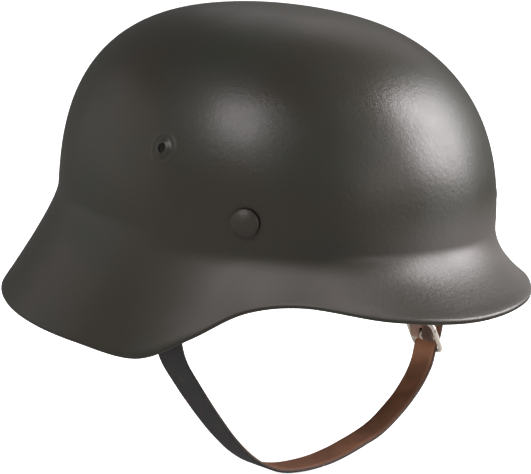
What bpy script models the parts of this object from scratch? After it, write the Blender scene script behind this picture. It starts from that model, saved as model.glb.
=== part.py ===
"""Steel combat helmet with its chin strap, as separate solid pieces at real size.

Metres, +Z up. The visor points to -Y and the wearer's right side is at -X. The origin is the
middle of the head space, at the height where the dome is widest and the liner band seats.
"""
import math
from typing import NamedTuple

import bmesh
import bpy
from mathutils import Matrix, Vector

# Dome: a rounded oval that closes over the head
HALF_WIDTH = 0.099
FRONT_LENGTH = 0.104
REAR_LENGTH = 0.127
DOME_HEIGHT = 0.100
WALL = 0.0012
PLAN_SQUARENESS = 2.15
DOME_FULLNESS = 2.5
DOME_SQUARENESS = 2.6
CROWN_SETBACK = 0.0095
CROWN_SETBACK_CURVE = 1.9

# Flare: the visor, the ear skirt and the neck guard, one bend all round
FLARE_START = 0.0025
FLARE_KNEE = 0.0105
BRIM_REACH = 0.030
SKIRT_DROP = 0.058
EDGE_ROLL_RADIUS = 0.0016

# Mesh density
AROUND = 64
DOME_ROWS = 13
FLARE_ROWS = 7
ROLL_STEPS = 6
ROUND_SIDES = 20
HOLE_SIDES = 16
BAR_SIDES = 10
WIRE_SIDES = 8
CORNER_STEPS = 4
LOOP_STEPS = 8
EYE_STEPS = 10
PATH_STEPS = 3

# Small steps that slopes are measured over, in degrees and in rows
ANGLE_STEP = 0.05
RUN_STEP = 0.0005

# Stamped vents in both sides
VENT_ANGLE = 82.0
VENT_HEIGHT = 0.041
VENT_BOSS_RADIUS = 0.0068
VENT_BOSS_TOP_RADIUS = 0.0036
VENT_BOSS_HEIGHT = 0.0014
VENT_HOLE_RADIUS = 0.0024

# Split pins that hold the liner band, each with its angle from the front
PIN_ANGLE = 54.3
REAR_PIN_ANGLE = 180.0
PINS = (("split_pin_right", PIN_ANGLE), ("split_pin_left", -PIN_ANGLE), ("split_pin_rear", REAR_PIN_ANGLE))
PIN_HEIGHT = 0.0133
PIN_HEAD_RADIUS = 0.0069
PIN_HEAD_EDGE = 0.0006
PIN_HEAD_HEIGHT = 0.0029
PIN_HEAD_FULLNESS = 0.8
PIN_HEAD_RINGS = (0.92, 0.75, 0.50, 0.25)
PIN_SHANK_RADIUS = 0.0022
PIN_LEG_LENGTH = 0.0065
PIN_LEG_HALF_WIDTH = 0.0020
PIN_LEG_THICKNESS = 0.0012
PIN_LEG_GAP = 0.0005

# Hidden liner band with a wire bale each side for the strap
BAND_CLEARANCE = 0.0065
BAND_THICKNESS = 0.0010
BAND_LOW = 0.005
BAND_HIGH = 0.025
BALE_FORWARD = 0.020
BALE_WIRE_RADIUS = 0.0013
BALE_DROP = 0.024
BALE_CORNER = 0.003

# Chin strap: one long leather strap and a short one that carries the buckle
STRAP_WIDTH = 0.015
STRAP_THICKNESS = 0.0020
SHORT_STRAP_THICKNESS = 0.0016
STRAP_EDGE_ROUND = 0.0003
STRAP_LOW_POINT = 0.1272
SEWN_TAIL = 0.028
FREE_END = 0.030
THREAD_LEAN = 22.0
SHORT_STRAP_LENGTH = 0.0502
SHORT_STRAP_LEAN = 4.6
SHORT_STRAP_BOW = 0.0022
SHORT_STRAP_FADE = 0.22
SHORT_STRAP_ROWS = (0.06, 0.12, 0.18, 0.26, 0.38, 0.50, 0.62, 0.74, 0.82, 0.88, 0.94)

# Buckle: a rounded wire frame with a middle bar and a prong
BUCKLE_TILT = 30.0
BUCKLE_HALF_LENGTH = 0.0090
BUCKLE_CORNER = 0.0035
BUCKLE_WIRE_RADIUS = 0.0012
BUCKLE_BAR_RADIUS = 0.0010
PRONG_RADIUS = 0.0008
PRONG_OVERHANG = 0.0012
PRONG_EYE_TURN = 240.0
PRONG_HOLE_START = 0.12
PRONG_HOLE_END = 0.92

# Clearances between touching pieces
GAP = 0.0003
SIDE_PLAY = 0.0008
HOLE_PLAY = 0.0003
STRAP_SLACK = 0.0002


class RimStation(NamedTuple):
    """How far the edge stands out and down at an angle from the front, as shares of the named sizes."""

    angle: float
    reach: float
    drop: float


RIM = (
    RimStation(0.0, 1.00, 0.415),
    RimStation(20.0, 0.90, 0.37),
    RimStation(38.0, 0.51, 0.315),
    RimStation(52.0, 0.29, 0.44),
    RimStation(66.0, 0.23, 0.735),
    RimStation(82.0, 0.27, 1.00),
    RimStation(100.0, 0.60, 0.97),
    RimStation(125.0, 0.80, 0.94),
    RimStation(150.0, 0.87, 0.90),
    RimStation(180.0, 0.87, 0.90),
)


class StrapStation(NamedTuple):
    """A place on the hanging strap, across and down as shares of the bale's place and the low point."""

    across: float
    down: float
    turn: float


HANGING = (
    StrapStation(-1.020, 0.280, -14.0),
    StrapStation(-1.022, 0.375, -17.0),
    StrapStation(-0.975, 0.475, -18.0),
    StrapStation(-0.872, 0.575, -17.0),
    StrapStation(-0.705, 0.715, -13.0),
    StrapStation(-0.535, 0.840, -8.0),
    StrapStation(-0.370, 0.930, -4.0),
    StrapStation(-0.190, 0.985, 0.0),
    StrapStation(0.000, 1.000, 2.0),
    StrapStation(0.210, 0.990, 4.0),
    StrapStation(0.415, 0.955, 6.0),
    StrapStation(0.610, 0.905, 7.0),
    StrapStation(0.775, 0.825, 7.0),
    StrapStation(0.888, 0.745, 5.0),
    StrapStation(0.955, 0.665, 2.0),
)


class FreeEndStation(NamedTuple):
    """A place on the free end above the buckle, as shares of the free end's length."""

    out: float
    up: float
    width: float


FREE_END_SHAPE = (
    FreeEndStation(0.05, 0.30, 1.00),
    FreeEndStation(0.07, 0.62, 1.00),
    FreeEndStation(0.05, 0.86, 0.90),
    FreeEndStation(0.03, 1.00, 0.45),
)


def clear_scene():
    """Start from an empty scene."""
    for old in list(bpy.data.objects):
        bpy.data.objects.remove(old, do_unlink=True)


def surface(name, color, roughness, metallic):
    """A Principled BSDF finish, made once and shared by every piece that has it."""
    if name in bpy.data.materials:
        return bpy.data.materials[name]
    finish = bpy.data.materials.new(name)
    finish.use_nodes = True
    shader = finish.node_tree.nodes["Principled BSDF"]
    shader.inputs["Base Color"].default_value = (*color, 1.0)
    shader.inputs["Roughness"].default_value = roughness
    shader.inputs["Metallic"].default_value = metallic
    return finish


def field_paint():
    """Dark grey-green semi-matte paint on the steel shell and the pin heads."""
    return surface("field_paint", (0.045, 0.042, 0.034), 0.38, 0.0)


def bare_steel():
    """Plain grey metal of the hidden liner band."""
    return surface("bare_steel", (0.42, 0.42, 0.40), 0.45, 1.0)


def strap_leather():
    """Brown leather of the chin strap."""
    return surface("strap_leather", (0.105, 0.040, 0.020), 0.50, 0.0)


def buckle_metal():
    """Bright plated metal of the buckle."""
    return surface("buckle_metal", (0.60, 0.56, 0.48), 0.28, 1.0)


def add_piece(name, points, faces, finish, sharp=40.0):
    """Make one object from points and faces, with its faces pointing out and round parts smooth."""
    mesh = bpy.data.meshes.new(name)
    mesh.from_pydata([tuple(point) for point in points], [], faces)
    work = bmesh.new()
    work.from_mesh(mesh)
    bmesh.ops.recalc_face_normals(work, faces=work.faces)
    work.to_mesh(mesh)
    work.free()
    mesh.materials.append(finish)
    mesh.shade_smooth()
    mesh.set_sharp_from_angle(angle=math.radians(sharp))
    piece = bpy.data.objects.new(name, mesh)
    bpy.context.scene.collection.objects.link(piece)
    return piece


def mark_guide(guide):
    """A shape that only cuts or joins another piece."""
    guide.hide_render = True
    guide.display_type = "WIRE"
    return guide


def combine(piece, guide, operation):
    """Cut a guide from a piece, or join it to the piece."""
    step = piece.modifiers.new(f"{operation.lower()}_{guide.name}", "BOOLEAN")
    step.operation = operation
    step.solver = "EXACT"
    step.object = mark_guide(guide)


def ring_faces(rings, sides, closed):
    """Quads between neighbouring rings of points; an open run gets a cap at each end."""
    faces = []
    for ring in range(rings if closed else rings - 1):
        after = (ring + 1) % rings
        for side in range(sides):
            turn = (side + 1) % sides
            here, there = ring * sides, after * sides
            faces.append((here + side, here + turn, there + turn, there + side))
    if not closed:
        faces.append(tuple(range(sides)))
        faces.append(tuple((rings - 1) * sides + side for side in range(sides)))
    return faces


def lathe(name, profile, sides, finish):
    """Turn a profile of (radius, height) about its own Z; both ends lie on the axis."""
    points = [Vector((0.0, 0.0, profile[0][1]))]
    for radius, height in profile[1:-1]:
        for side in range(sides):
            angle = 2 * math.pi * side / sides
            points.append(Vector((radius * math.cos(angle), radius * math.sin(angle), height)))
    points.append(Vector((0.0, 0.0, profile[-1][1])))
    last = len(points) - 1
    rings = len(profile) - 2
    faces = []
    for side in range(sides):
        turn = (side + 1) % sides
        faces.append((0, 1 + turn, 1 + side))
        for ring in range(rings - 1):
            low = 1 + ring * sides
            high = low + sides
            faces.append((low + side, low + turn, high + turn, high + side))
        top = 1 + (rings - 1) * sides
        faces.append((top + side, top + turn, last))
    return add_piece(name, points, faces, finish)


def rod(name, radius, bottom, top, sides, finish):
    """A plain round rod along its own Z."""
    return lathe(name, [(0.0, bottom), (radius, bottom), (radius, top), (0.0, top)], sides, finish)


def wire(name, path, radius, sides, closed, finish, flat_normal):
    """A round wire along a path that lies in one plane."""
    points = []
    count = len(path)
    for index, place in enumerate(path):
        before = path[(index - 1) % count] if closed or index > 0 else place
        after = path[(index + 1) % count] if closed or index < count - 1 else place
        along = (after - before).normalized()
        out = along.cross(flat_normal).normalized()
        for side in range(sides):
            angle = 2 * math.pi * (side + 0.5) / sides
            points.append(place + radius * (math.cos(angle) * out + math.sin(angle) * flat_normal))
    return add_piece(name, points, ring_faces(count, sides, closed), finish)


def smooth_curve(stations, steps):
    """Points on a smooth curve through the stations, a fixed number of steps between each two."""
    curve = []
    for index in range(len(stations) - 1):
        p1, p2 = stations[index], stations[index + 1]
        p0 = stations[index - 1] if index > 0 else p1 * 2 - p2
        p3 = stations[index + 2] if index + 2 < len(stations) else p2 * 2 - p1
        for step in range(steps):
            t = step / steps
            curve.append(0.5 * (2 * p1 + (p2 - p0) * t + (2 * p0 - 5 * p1 + 4 * p2 - p3) * t ** 2
                                + (3 * p1 - p0 - 3 * p2 + p3) * t ** 3))
    curve.append(stations[-1].copy())
    return curve


def rim_value(column, angle):
    """Smooth value of a rim column at an angle from the front in degrees, the same on both sides."""
    angle = abs((angle + 180.0) % 360.0 - 180.0)
    values = [getattr(station, column) for station in RIM]
    last = len(RIM) - 1
    slopes = [0.0] * len(RIM)
    for index in range(1, last):
        span = RIM[index + 1].angle - RIM[index - 1].angle
        slopes[index] = (values[index + 1] - values[index - 1]) / span
    index = 0
    while index < last - 1 and angle >= RIM[index + 1].angle:
        index += 1
    span = RIM[index + 1].angle - RIM[index].angle
    t = (angle - RIM[index].angle) / span
    return ((2 * t ** 3 - 3 * t ** 2 + 1) * values[index]
            + (t ** 3 - 2 * t ** 2 + t) * span * slopes[index]
            + (3 * t ** 2 - 2 * t ** 3) * values[index + 1]
            + (t ** 3 - t ** 2) * span * slopes[index + 1])


def plan_point(angle):
    """Point on the dome's widest outline and its outward direction, at an angle from the front."""
    turn = math.radians(angle)
    across, along = math.sin(turn), math.cos(turn)
    length = FRONT_LENGTH if along > 0 else REAR_LENGTH
    power = PLAN_SQUARENESS
    radius = (abs(across / HALF_WIDTH) ** power + abs(along / length) ** power) ** (-1 / power)
    x, y = -radius * across, -radius * along
    slope_x = math.copysign((abs(x) / HALF_WIDTH) ** (power - 1) / HALF_WIDTH, x)
    slope_y = math.copysign((abs(y) / length) ** (power - 1) / length, y)
    return Vector((x, y, 0.0)), Vector((slope_x, slope_y, 0.0)).normalized()


def dome_point(angle, height):
    """Point on the outside of the dome."""
    rise = min(max(height, 0.0) / DOME_HEIGHT, 1.0)
    shrink = (1 - rise ** DOME_FULLNESS) ** (1 / DOME_SQUARENESS)
    setback = CROWN_SETBACK * rise ** CROWN_SETBACK_CURVE
    widest, _ = plan_point(angle)
    return Vector((shrink * widest.x, setback + shrink * widest.y, height))


def flare_point(angle, share):
    """Point on the outside of the flare; share runs from 0 at the dome to 1 at the edge."""
    foot = dome_point(angle, FLARE_START)
    _, outward = plan_point(angle)
    reach = BRIM_REACH * rim_value("reach", angle)
    edge_height = -SKIRT_DROP * rim_value("drop", angle)
    height = ((1 - share) ** 2 * FLARE_START + 2 * share * (1 - share) * (FLARE_START - FLARE_KNEE)
              + share ** 2 * edge_height)
    return Vector((foot.x, foot.y, height)) + outward * reach * share ** 2


def outer_point(angle, run):
    """Outside of the shell; run is 0 at the crown, 1 at the dome's foot and 2 at the edge."""
    if run <= 1:
        return dome_point(angle, DOME_HEIGHT - (DOME_HEIGHT - FLARE_START) * run ** 2)
    return flare_point(angle, run - 1)


def around_direction(angle, run):
    """Direction round the shell, with growing angle."""
    return (outer_point(angle + ANGLE_STEP, run) - outer_point(angle - ANGLE_STEP, run)).normalized()


def outward_direction(angle, run):
    """Direction straight out of the shell's surface."""
    down = outer_point(angle, run + RUN_STEP) - outer_point(angle, run - RUN_STEP)
    return around_direction(angle, run).cross(down).normalized()


def wall_point(angle, run, depth):
    """Point under the shell's outside, straight in by a depth."""
    return outer_point(angle, run) - depth * outward_direction(angle, run)


def run_at(height):
    """Run value at a height on the dome."""
    return math.sqrt((DOME_HEIGHT - height) / (DOME_HEIGHT - FLARE_START))


def wall_frame(angle, height):
    """Placement on the dome's wall, with its own Z pointing out and its own Y up the wall."""
    run = run_at(height)
    out = outward_direction(angle, run)
    side = around_direction(angle, run)
    up = out.cross(side)
    frame = Matrix((side, up, out)).transposed().to_4x4()
    frame.translation = outer_point(angle, run)
    return frame


def shell_section(angle):
    """Closed section of the wall at one angle: down the outside, round the rolled edge, up the inside."""
    outside_runs = [row / DOME_ROWS for row in range(1, DOME_ROWS + 1)]
    outside_runs += [1 + row / FLARE_ROWS for row in range(1, FLARE_ROWS + 1)]
    points = [outer_point(angle, run) for run in outside_runs]
    out = outward_direction(angle, 2.0)
    down = out.cross(around_direction(angle, 2.0))
    centre = points[-1] - EDGE_ROLL_RADIUS * out
    full_turn = 2 * math.pi - math.acos((EDGE_ROLL_RADIUS - WALL) / EDGE_ROLL_RADIUS)
    for step in range(1, ROLL_STEPS + 1):
        turn = full_turn * step / ROLL_STEPS
        points.append(centre + EDGE_ROLL_RADIUS * (math.cos(turn) * out + math.sin(turn) * down))
    points += [wall_point(angle, run, WALL) for run in reversed(outside_runs[:-1])]
    return points


def vent_boss(side, angle):
    """Raised stamping round a vent hole."""
    profile = [(0.0, -WALL / 2), (VENT_BOSS_RADIUS, -WALL / 2), (VENT_BOSS_TOP_RADIUS, VENT_BOSS_HEIGHT),
               (0.0, VENT_BOSS_HEIGHT)]
    boss = lathe(f"vent_boss_{side}", profile, ROUND_SIDES, field_paint())
    boss.matrix_world = wall_frame(angle, VENT_HEIGHT)
    return boss


def hole_cutter(name, angle, height, radius):
    """Rod that cuts a hole through the wall and the band behind it."""
    reach = WALL + BAND_CLEARANCE + BAND_THICKNESS + PIN_HEAD_HEIGHT
    cutter = rod(name, radius, -reach, reach, HOLE_SIDES, field_paint())
    cutter.matrix_world = wall_frame(angle, height)
    return cutter


def pin_cutters():
    """Rods through the shell and the band, one for each split pin."""
    radius = PIN_SHANK_RADIUS + HOLE_PLAY
    return [hole_cutter(f"cut_{name}", angle, PIN_HEIGHT, radius) for name, angle in PINS]


def build_shell(cutters):
    """Steel bowl of even wall with a rolled edge, two stamped vents and three pin holes."""
    sections = [shell_section(360.0 * column / AROUND) for column in range(AROUND)]
    per_section = len(sections[0])
    points = [point for section in sections for point in section]
    faces = []
    for column in range(AROUND):
        here = column * per_section
        there = ((column + 1) % AROUND) * per_section
        for row in range(per_section - 1):
            faces.append((here + row, there + row, there + row + 1, here + row + 1))
    crown = Vector((0.0, CROWN_SETBACK, DOME_HEIGHT))
    outer_crown = len(points)
    points.append(crown)
    inner_crown = len(points)
    points.append(crown - Vector((0.0, 0.0, WALL)))
    for column in range(AROUND):
        here = column * per_section
        there = ((column + 1) % AROUND) * per_section
        faces.append((outer_crown, there, here))
        faces.append((inner_crown, here + per_section - 1, there + per_section - 1))
    shell = add_piece("shell", points, faces, field_paint())
    for side, angle in (("right", VENT_ANGLE), ("left", -VENT_ANGLE)):
        combine(shell, vent_boss(side, angle), "UNION")
        combine(shell, hole_cutter(f"vent_cut_{side}", angle, VENT_HEIGHT, VENT_HOLE_RADIUS), "DIFFERENCE")
    for cutter in cutters:
        combine(shell, cutter, "DIFFERENCE")
    return shell


def build_pin(name, angle):
    """Split pin: a shallow domed head outside, a shank through wall and band, legs bent flat inside."""
    leg_top = -(WALL + BAND_CLEARANCE + BAND_THICKNESS + PIN_LEG_GAP)
    leg_bottom = leg_top - PIN_LEG_THICKNESS
    shank_end = (leg_top + leg_bottom) / 2
    profile = [(0.0, shank_end), (PIN_SHANK_RADIUS, shank_end), (PIN_SHANK_RADIUS, GAP),
               (PIN_HEAD_RADIUS, GAP), (PIN_HEAD_RADIUS, GAP + PIN_HEAD_EDGE)]
    for share in PIN_HEAD_RINGS:
        rise = (PIN_HEAD_HEIGHT - PIN_HEAD_EDGE) * (1 - share ** 2) ** PIN_HEAD_FULLNESS
        profile.append((PIN_HEAD_RADIUS * share, GAP + PIN_HEAD_EDGE + rise))
    profile.append((0.0, GAP + PIN_HEAD_HEIGHT))
    pin = lathe(name, profile, ROUND_SIDES, field_paint())
    place = wall_frame(angle, PIN_HEIGHT)
    pin.matrix_world = place
    half = PIN_LEG_HALF_WIDTH
    corners = [Vector((x, y, z)) for z in (leg_bottom, leg_top)
               for x, y in ((-half, -PIN_LEG_LENGTH), (half, -PIN_LEG_LENGTH), (half, PIN_LEG_LENGTH),
                            (-half, PIN_LEG_LENGTH))]
    legs = add_piece(f"legs_{name}", corners, ring_faces(2, 4, False), field_paint())
    legs.matrix_world = place
    combine(pin, legs, "UNION")
    return pin


def bale_angle():
    """Angle from the front at which the shell's side lies above the strap."""
    power = PLAN_SQUARENESS
    across = HALF_WIDTH * (1 - (BALE_FORWARD / FRONT_LENGTH) ** power) ** (1 / power)
    return math.degrees(math.atan2(across, BALE_FORWARD))


def bale_centre(side):
    """Middle of a bale's lower bar; side is -1 on the wearer's right and 1 on the left."""
    top = wall_point(bale_angle(), run_at(BAND_LOW), WALL + BAND_CLEARANCE + BAND_THICKNESS / 2)
    return Vector((side * abs(top.x), top.y, BAND_LOW - BALE_DROP))


def bale_turn():
    """Heading of the bale's bar, as the band runs there, in degrees."""
    _, outward = plan_point(bale_angle())
    return math.degrees(math.atan2(abs(outward.y), abs(outward.x)))


def width_direction(turn):
    """Direction across the strap from its front edge to its rear edge."""
    return Vector((math.sin(math.radians(turn)), math.cos(math.radians(turn)), 0.0))


def bale_wire(side, name):
    """Wire loop that hangs from the band and carries the strap."""
    bar = bale_centre(side)
    across = width_direction(side * bale_turn())
    half = STRAP_WIDTH / 2 + SIDE_PLAY + BALE_WIRE_RADIUS
    top = BALE_DROP + (BAND_HIGH - BAND_LOW) / 2
    path = [bar - half * across + Vector((0, 0, top)), bar - half * across + Vector((0, 0, BALE_CORNER * 2))]
    for direction in (-1, 1):
        middle = bar + direction * (half - BALE_CORNER) * across + Vector((0, 0, BALE_CORNER))
        for step in range(CORNER_STEPS + 1):
            turn = math.radians(90.0 * (step if direction < 0 else CORNER_STEPS - step) / CORNER_STEPS)
            sideways = direction * math.cos(turn) * across
            path.append(middle + BALE_CORNER * (sideways - Vector((0, 0, math.sin(turn)))))
    path += [bar + half * across + Vector((0, 0, BALE_CORNER * 2)), bar + half * across + Vector((0, 0, top))]
    normal = across.cross(Vector((0, 0, 1))).normalized()
    return wire(name, path, BALE_WIRE_RADIUS, WIRE_SIDES, False, bare_steel(), normal)


def build_band(cutters):
    """Hidden metal band that the pins hold inside the shell, with a strap bale on each side."""
    outer = WALL + BAND_CLEARANCE
    inner = outer + BAND_THICKNESS
    heights = (BAND_LOW, (BAND_LOW + BAND_HIGH) / 2, BAND_HIGH)
    points = []
    for column in range(AROUND):
        angle = 360.0 * column / AROUND
        points += [wall_point(angle, run_at(height), outer) for height in heights]
        points += [wall_point(angle, run_at(height), inner) for height in reversed(heights)]
    band = add_piece("liner_band", points, ring_faces(AROUND, 2 * len(heights), True), bare_steel())
    for side, name in ((-1, "bale_right"), (1, "bale_left")):
        combine(band, bale_wire(side, name), "UNION")
    for cutter in cutters:
        combine(band, cutter, "DIFFERENCE")
    return band


def strap_body(name, path, turns, widths, thickness, closed):
    """Flat leather strap along a path, its width turned at each place, with slightly rounded edges."""
    points = []
    count = len(path)
    half_thick = thickness / 2
    for index, place in enumerate(path):
        before = path[(index - 1) % count] if closed or index > 0 else place
        after = path[(index + 1) % count] if closed or index < count - 1 else place
        along = (after - before).normalized()
        across = width_direction(turns[index])
        across = (across - along * across.dot(along)).normalized()
        face = along.cross(across)
        half_wide = widths[index] * STRAP_WIDTH / 2
        edge = STRAP_EDGE_ROUND
        outline = ((half_wide, half_thick - edge), (half_wide - edge, half_thick),
                   (edge - half_wide, half_thick), (-half_wide, half_thick - edge),
                   (-half_wide, edge - half_thick), (edge - half_wide, -half_thick),
                   (half_wide - edge, -half_thick), (half_wide, edge - half_thick))
        points += [place + wide * across + deep * face for wide, deep in outline]
    return add_piece(name, points, ring_faces(count, 8, closed), strap_leather())


def hinge_point():
    """Middle of the buckle's middle bar, which hangs from the left bale on the short strap."""
    bar = bale_centre(1)
    lean = math.radians(SHORT_STRAP_LEAN)
    return Vector((bar.x - SHORT_STRAP_LENGTH * math.sin(lean), -BALE_FORWARD,
                   bar.z - SHORT_STRAP_LENGTH * math.cos(lean)))


def frame_down():
    """Direction down the tilted buckle frame."""
    tilt = math.radians(BUCKLE_TILT)
    return Vector((math.sin(tilt), 0.0, -math.cos(tilt)))


def half_loop(centre, inward, upward, radius):
    """Half circle of points over a bar, from its inner side over the top to its outer side."""
    turns = [math.pi * step / LOOP_STEPS for step in range(LOOP_STEPS + 1)]
    return [centre + radius * (math.cos(turn) * inward + math.sin(turn) * upward) for turn in turns]


def long_strap_path():
    """Centre line of the long strap: sewn tail, round the right bale, under the chin, through the buckle."""
    bar = bale_centre(-1)
    wrap = BALE_WIRE_RADIUS + GAP + STRAP_THICKNESS / 2
    upward = Vector((0.0, 0.0, 1.0))
    inward = Vector((1.0, 0.0, 0.0))
    lean = math.radians(THREAD_LEAN)
    beside = Vector((math.cos(lean), 0.0, -math.sin(lean)))
    hinge = hinge_point()
    lower_bar = hinge + BUCKLE_HALF_LENGTH * frame_down()
    clear = GAP + STRAP_SLACK + STRAP_THICKNESS / 2
    under_bar = lower_bar - (BUCKLE_WIRE_RADIUS + clear) * beside
    over_hinge = hinge + (BUCKLE_BAR_RADIUS + GAP + SHORT_STRAP_THICKNESS + clear) * beside
    stations = [bar - wrap * inward]
    turns = [-bale_turn()]
    widths = [1.0]
    for station in HANGING:
        stations.append(Vector((station.across * abs(bar.x), -BALE_FORWARD, -station.down * STRAP_LOW_POINT)))
        turns.append(station.turn)
        widths.append(1.0)
    for place in (under_bar, over_hinge):
        stations.append(place)
        turns.append(0.0)
        widths.append(1.0)
    for station in FREE_END_SHAPE:
        stations.append(over_hinge + FREE_END * Vector((station.out, 0.0, station.up)))
        turns.append(0.0)
        widths.append(station.width)
    run = smooth_curve(stations, PATH_STEPS)
    run_turns = [value.x for value in smooth_curve([Vector((turn, 0, 0)) for turn in turns], PATH_STEPS)]
    run_widths = [min(value.x, 1.0)
                  for value in smooth_curve([Vector((width, 0, 0)) for width in widths], PATH_STEPS)]
    tail, tail_turns = sewn_tail(run, run_turns, inward, wrap)
    over = half_loop(bar, inward, upward, wrap)[:-1]
    path = tail + over + run
    return path, tail_turns + [turns[0]] * len(over) + run_turns, [1.0] * (len(tail) + len(over)) + run_widths


def sewn_tail(run, run_turns, inward, wrap):
    """Strap end folded back beside the main run, close behind it once clear of the bar."""
    close = STRAP_THICKNESS + GAP + STRAP_SLACK
    tail = []
    turns = []
    travelled = 0.0
    for index in range(1, len(run)):
        travelled += (run[index] - run[index - 1]).length
        if travelled > SEWN_TAIL:
            break
        easing = min(travelled / (SEWN_TAIL / 2), 1.0)
        easing = easing * easing * (3 - 2 * easing)
        tail.append(run[index] + inward * (2 * wrap + (close - 2 * wrap) * easing))
        turns.append(run_turns[index])
    return tail[::-1], turns[::-1]


def prong_line():
    """Start and end of the prong's straight part, from the hinge to beyond the frame's lower bar."""
    down = frame_down()
    out = Vector((-down.z, 0.0, down.x))
    hinge = hinge_point()
    start = hinge + (BUCKLE_BAR_RADIUS + GAP + PRONG_RADIUS) * out
    lower_bar = hinge + BUCKLE_HALF_LENGTH * down
    end = lower_bar + (BUCKLE_WIRE_RADIUS + GAP + PRONG_RADIUS) * out + PRONG_OVERHANG * down
    return start, end, out


def build_chin_strap():
    """Long leather strap, with the hole that the prong passes through."""
    path, turns, widths = long_strap_path()
    strap = strap_body("chin_strap", path, turns, widths, STRAP_THICKNESS, False)
    start, end, _ = prong_line()
    along = end - start
    punch = rod("prong_hole_cut", PRONG_RADIUS + HOLE_PLAY, PRONG_HOLE_START * along.length,
                PRONG_HOLE_END * along.length, HOLE_SIDES, strap_leather())
    punch.matrix_world = Matrix.Translation(start) @ along.to_track_quat("Z", "Y").to_matrix().to_4x4()
    combine(strap, punch, "DIFFERENCE")
    return strap


def build_buckle_strap():
    """Short strap folded round the left bale and the buckle's middle bar, its two layers sewn together."""
    top = bale_centre(1)
    bottom = hinge_point()
    half = SHORT_STRAP_THICKNESS / 2
    top_radius = BALE_WIRE_RADIUS + GAP + half
    bottom_radius = BUCKLE_BAR_RADIUS + GAP + half
    waist = half + GAP / 2
    upward = (top - bottom).normalized()
    outward = upward.cross(Vector((0.0, -1.0, 0.0))).normalized()
    length = (top - bottom).length
    outer, inner = [], []
    for share in SHORT_STRAP_ROWS:
        middle = bottom + upward * length * share - outward * SHORT_STRAP_BOW * math.sin(math.pi * share)
        spread = waist
        for distance, radius in ((share, bottom_radius), (1 - share, top_radius)):
            if distance < SHORT_STRAP_FADE:
                t = distance / SHORT_STRAP_FADE
                spread = max(spread, radius + (waist - radius) * t * t * (3 - 2 * t))
        outer.append(middle + outward * spread)
        inner.append(middle - outward * spread)
    over_top = half_loop(top, outward, upward, top_radius)
    under_bottom = half_loop(bottom, -outward, -upward, bottom_radius)
    path = outer + over_top + inner[::-1] + under_bottom
    turn = bale_turn()
    turns = [turn * min(max((place - bottom).dot(upward) / length, 0.0), 1.0) for place in path]
    strap = strap_body("buckle_strap", path, turns, [1.0] * len(path), SHORT_STRAP_THICKNESS, True)
    slot_half = PRONG_RADIUS + GAP * 2
    slot_depth = bottom_radius + SHORT_STRAP_THICKNESS
    corners = [bottom + Vector((x * slot_depth, y * slot_half, z * slot_depth)) for z in (-1, 1)
               for x, y in ((-1, -1), (1, -1), (1, 1), (-1, 1))]
    slot = add_piece("prong_slot_cut", corners, ring_faces(2, 4, False), strap_leather())
    combine(strap, slot, "DIFFERENCE")
    return strap


def build_buckle_frame():
    """Rounded rectangle of wire with a middle bar, tilted with its lower end outward."""
    hinge = hinge_point()
    down = frame_down()
    across = Vector((0.0, 1.0, 0.0))
    normal = across.cross(down).normalized()
    half = STRAP_WIDTH / 2 + SIDE_PLAY + BUCKLE_WIRE_RADIUS
    path = []
    for index, (wide, deep) in enumerate(((1, 1), (-1, 1), (-1, -1), (1, -1))):
        corner = hinge + wide * (half - BUCKLE_CORNER) * across
        corner += deep * (BUCKLE_HALF_LENGTH - BUCKLE_CORNER) * down
        for step in range(CORNER_STEPS + 1):
            turn = math.radians(90.0 * (index + step / CORNER_STEPS))
            path.append(corner + BUCKLE_CORNER * (math.cos(turn) * across + math.sin(turn) * down))
    frame = wire("buckle_frame", path, BUCKLE_WIRE_RADIUS, WIRE_SIDES, True, buckle_metal(), normal)
    bar = rod("middle_bar", BUCKLE_BAR_RADIUS, -half, half, BAR_SIDES, buckle_metal())
    bar.matrix_world = Matrix.Translation(hinge) @ Matrix.Rotation(math.radians(90.0), 4, "X")
    combine(frame, bar, "UNION")
    return frame


def build_prong():
    """Prong: an open eye round the middle bar and a straight tongue over the lower bar."""
    start, end, out = prong_line()
    hinge = hinge_point()
    down = frame_down()
    radius = BUCKLE_BAR_RADIUS + GAP + PRONG_RADIUS
    path = []
    for step in range(EYE_STEPS):
        turn = math.radians(PRONG_EYE_TURN * (1 - step / EYE_STEPS))
        path.append(hinge + radius * (math.cos(turn) * out - math.sin(turn) * down))
    path += [start, start.lerp(end, 0.5), end]
    across = Vector((0.0, 1.0, 0.0))
    return wire("buckle_prong", path, PRONG_RADIUS, WIRE_SIDES, False, buckle_metal(), across)


def build_helmet():
    """All pieces of the helmet."""
    clear_scene()
    cutters = pin_cutters()
    build_shell(cutters)
    build_band(cutters)
    for name, angle in PINS:
        build_pin(name, angle)
    build_chin_strap()
    build_buckle_strap()
    build_buckle_frame()
    build_prong()


build_helmet()
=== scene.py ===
# %% [markdown]
# # A steel helmet with its chin strap
# The helmet is a deep bowl pressed from one steel sheet, with a visor, a skirt over the ears and a
# neck guard, all finished by a rolled edge. A plain band hangs inside it on three split pins, and a
# leather strap with a wire buckle hangs from that band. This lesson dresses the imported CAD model:
# every visible surface is made again in a finer mesh on the same formulas, and gets its own finish.

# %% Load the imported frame
import math
from typing import NamedTuple

import bmesh
import bpy
import numpy as np
from mathutils import Matrix, Vector, noise
from mathutils.kdtree import KDTree


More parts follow.
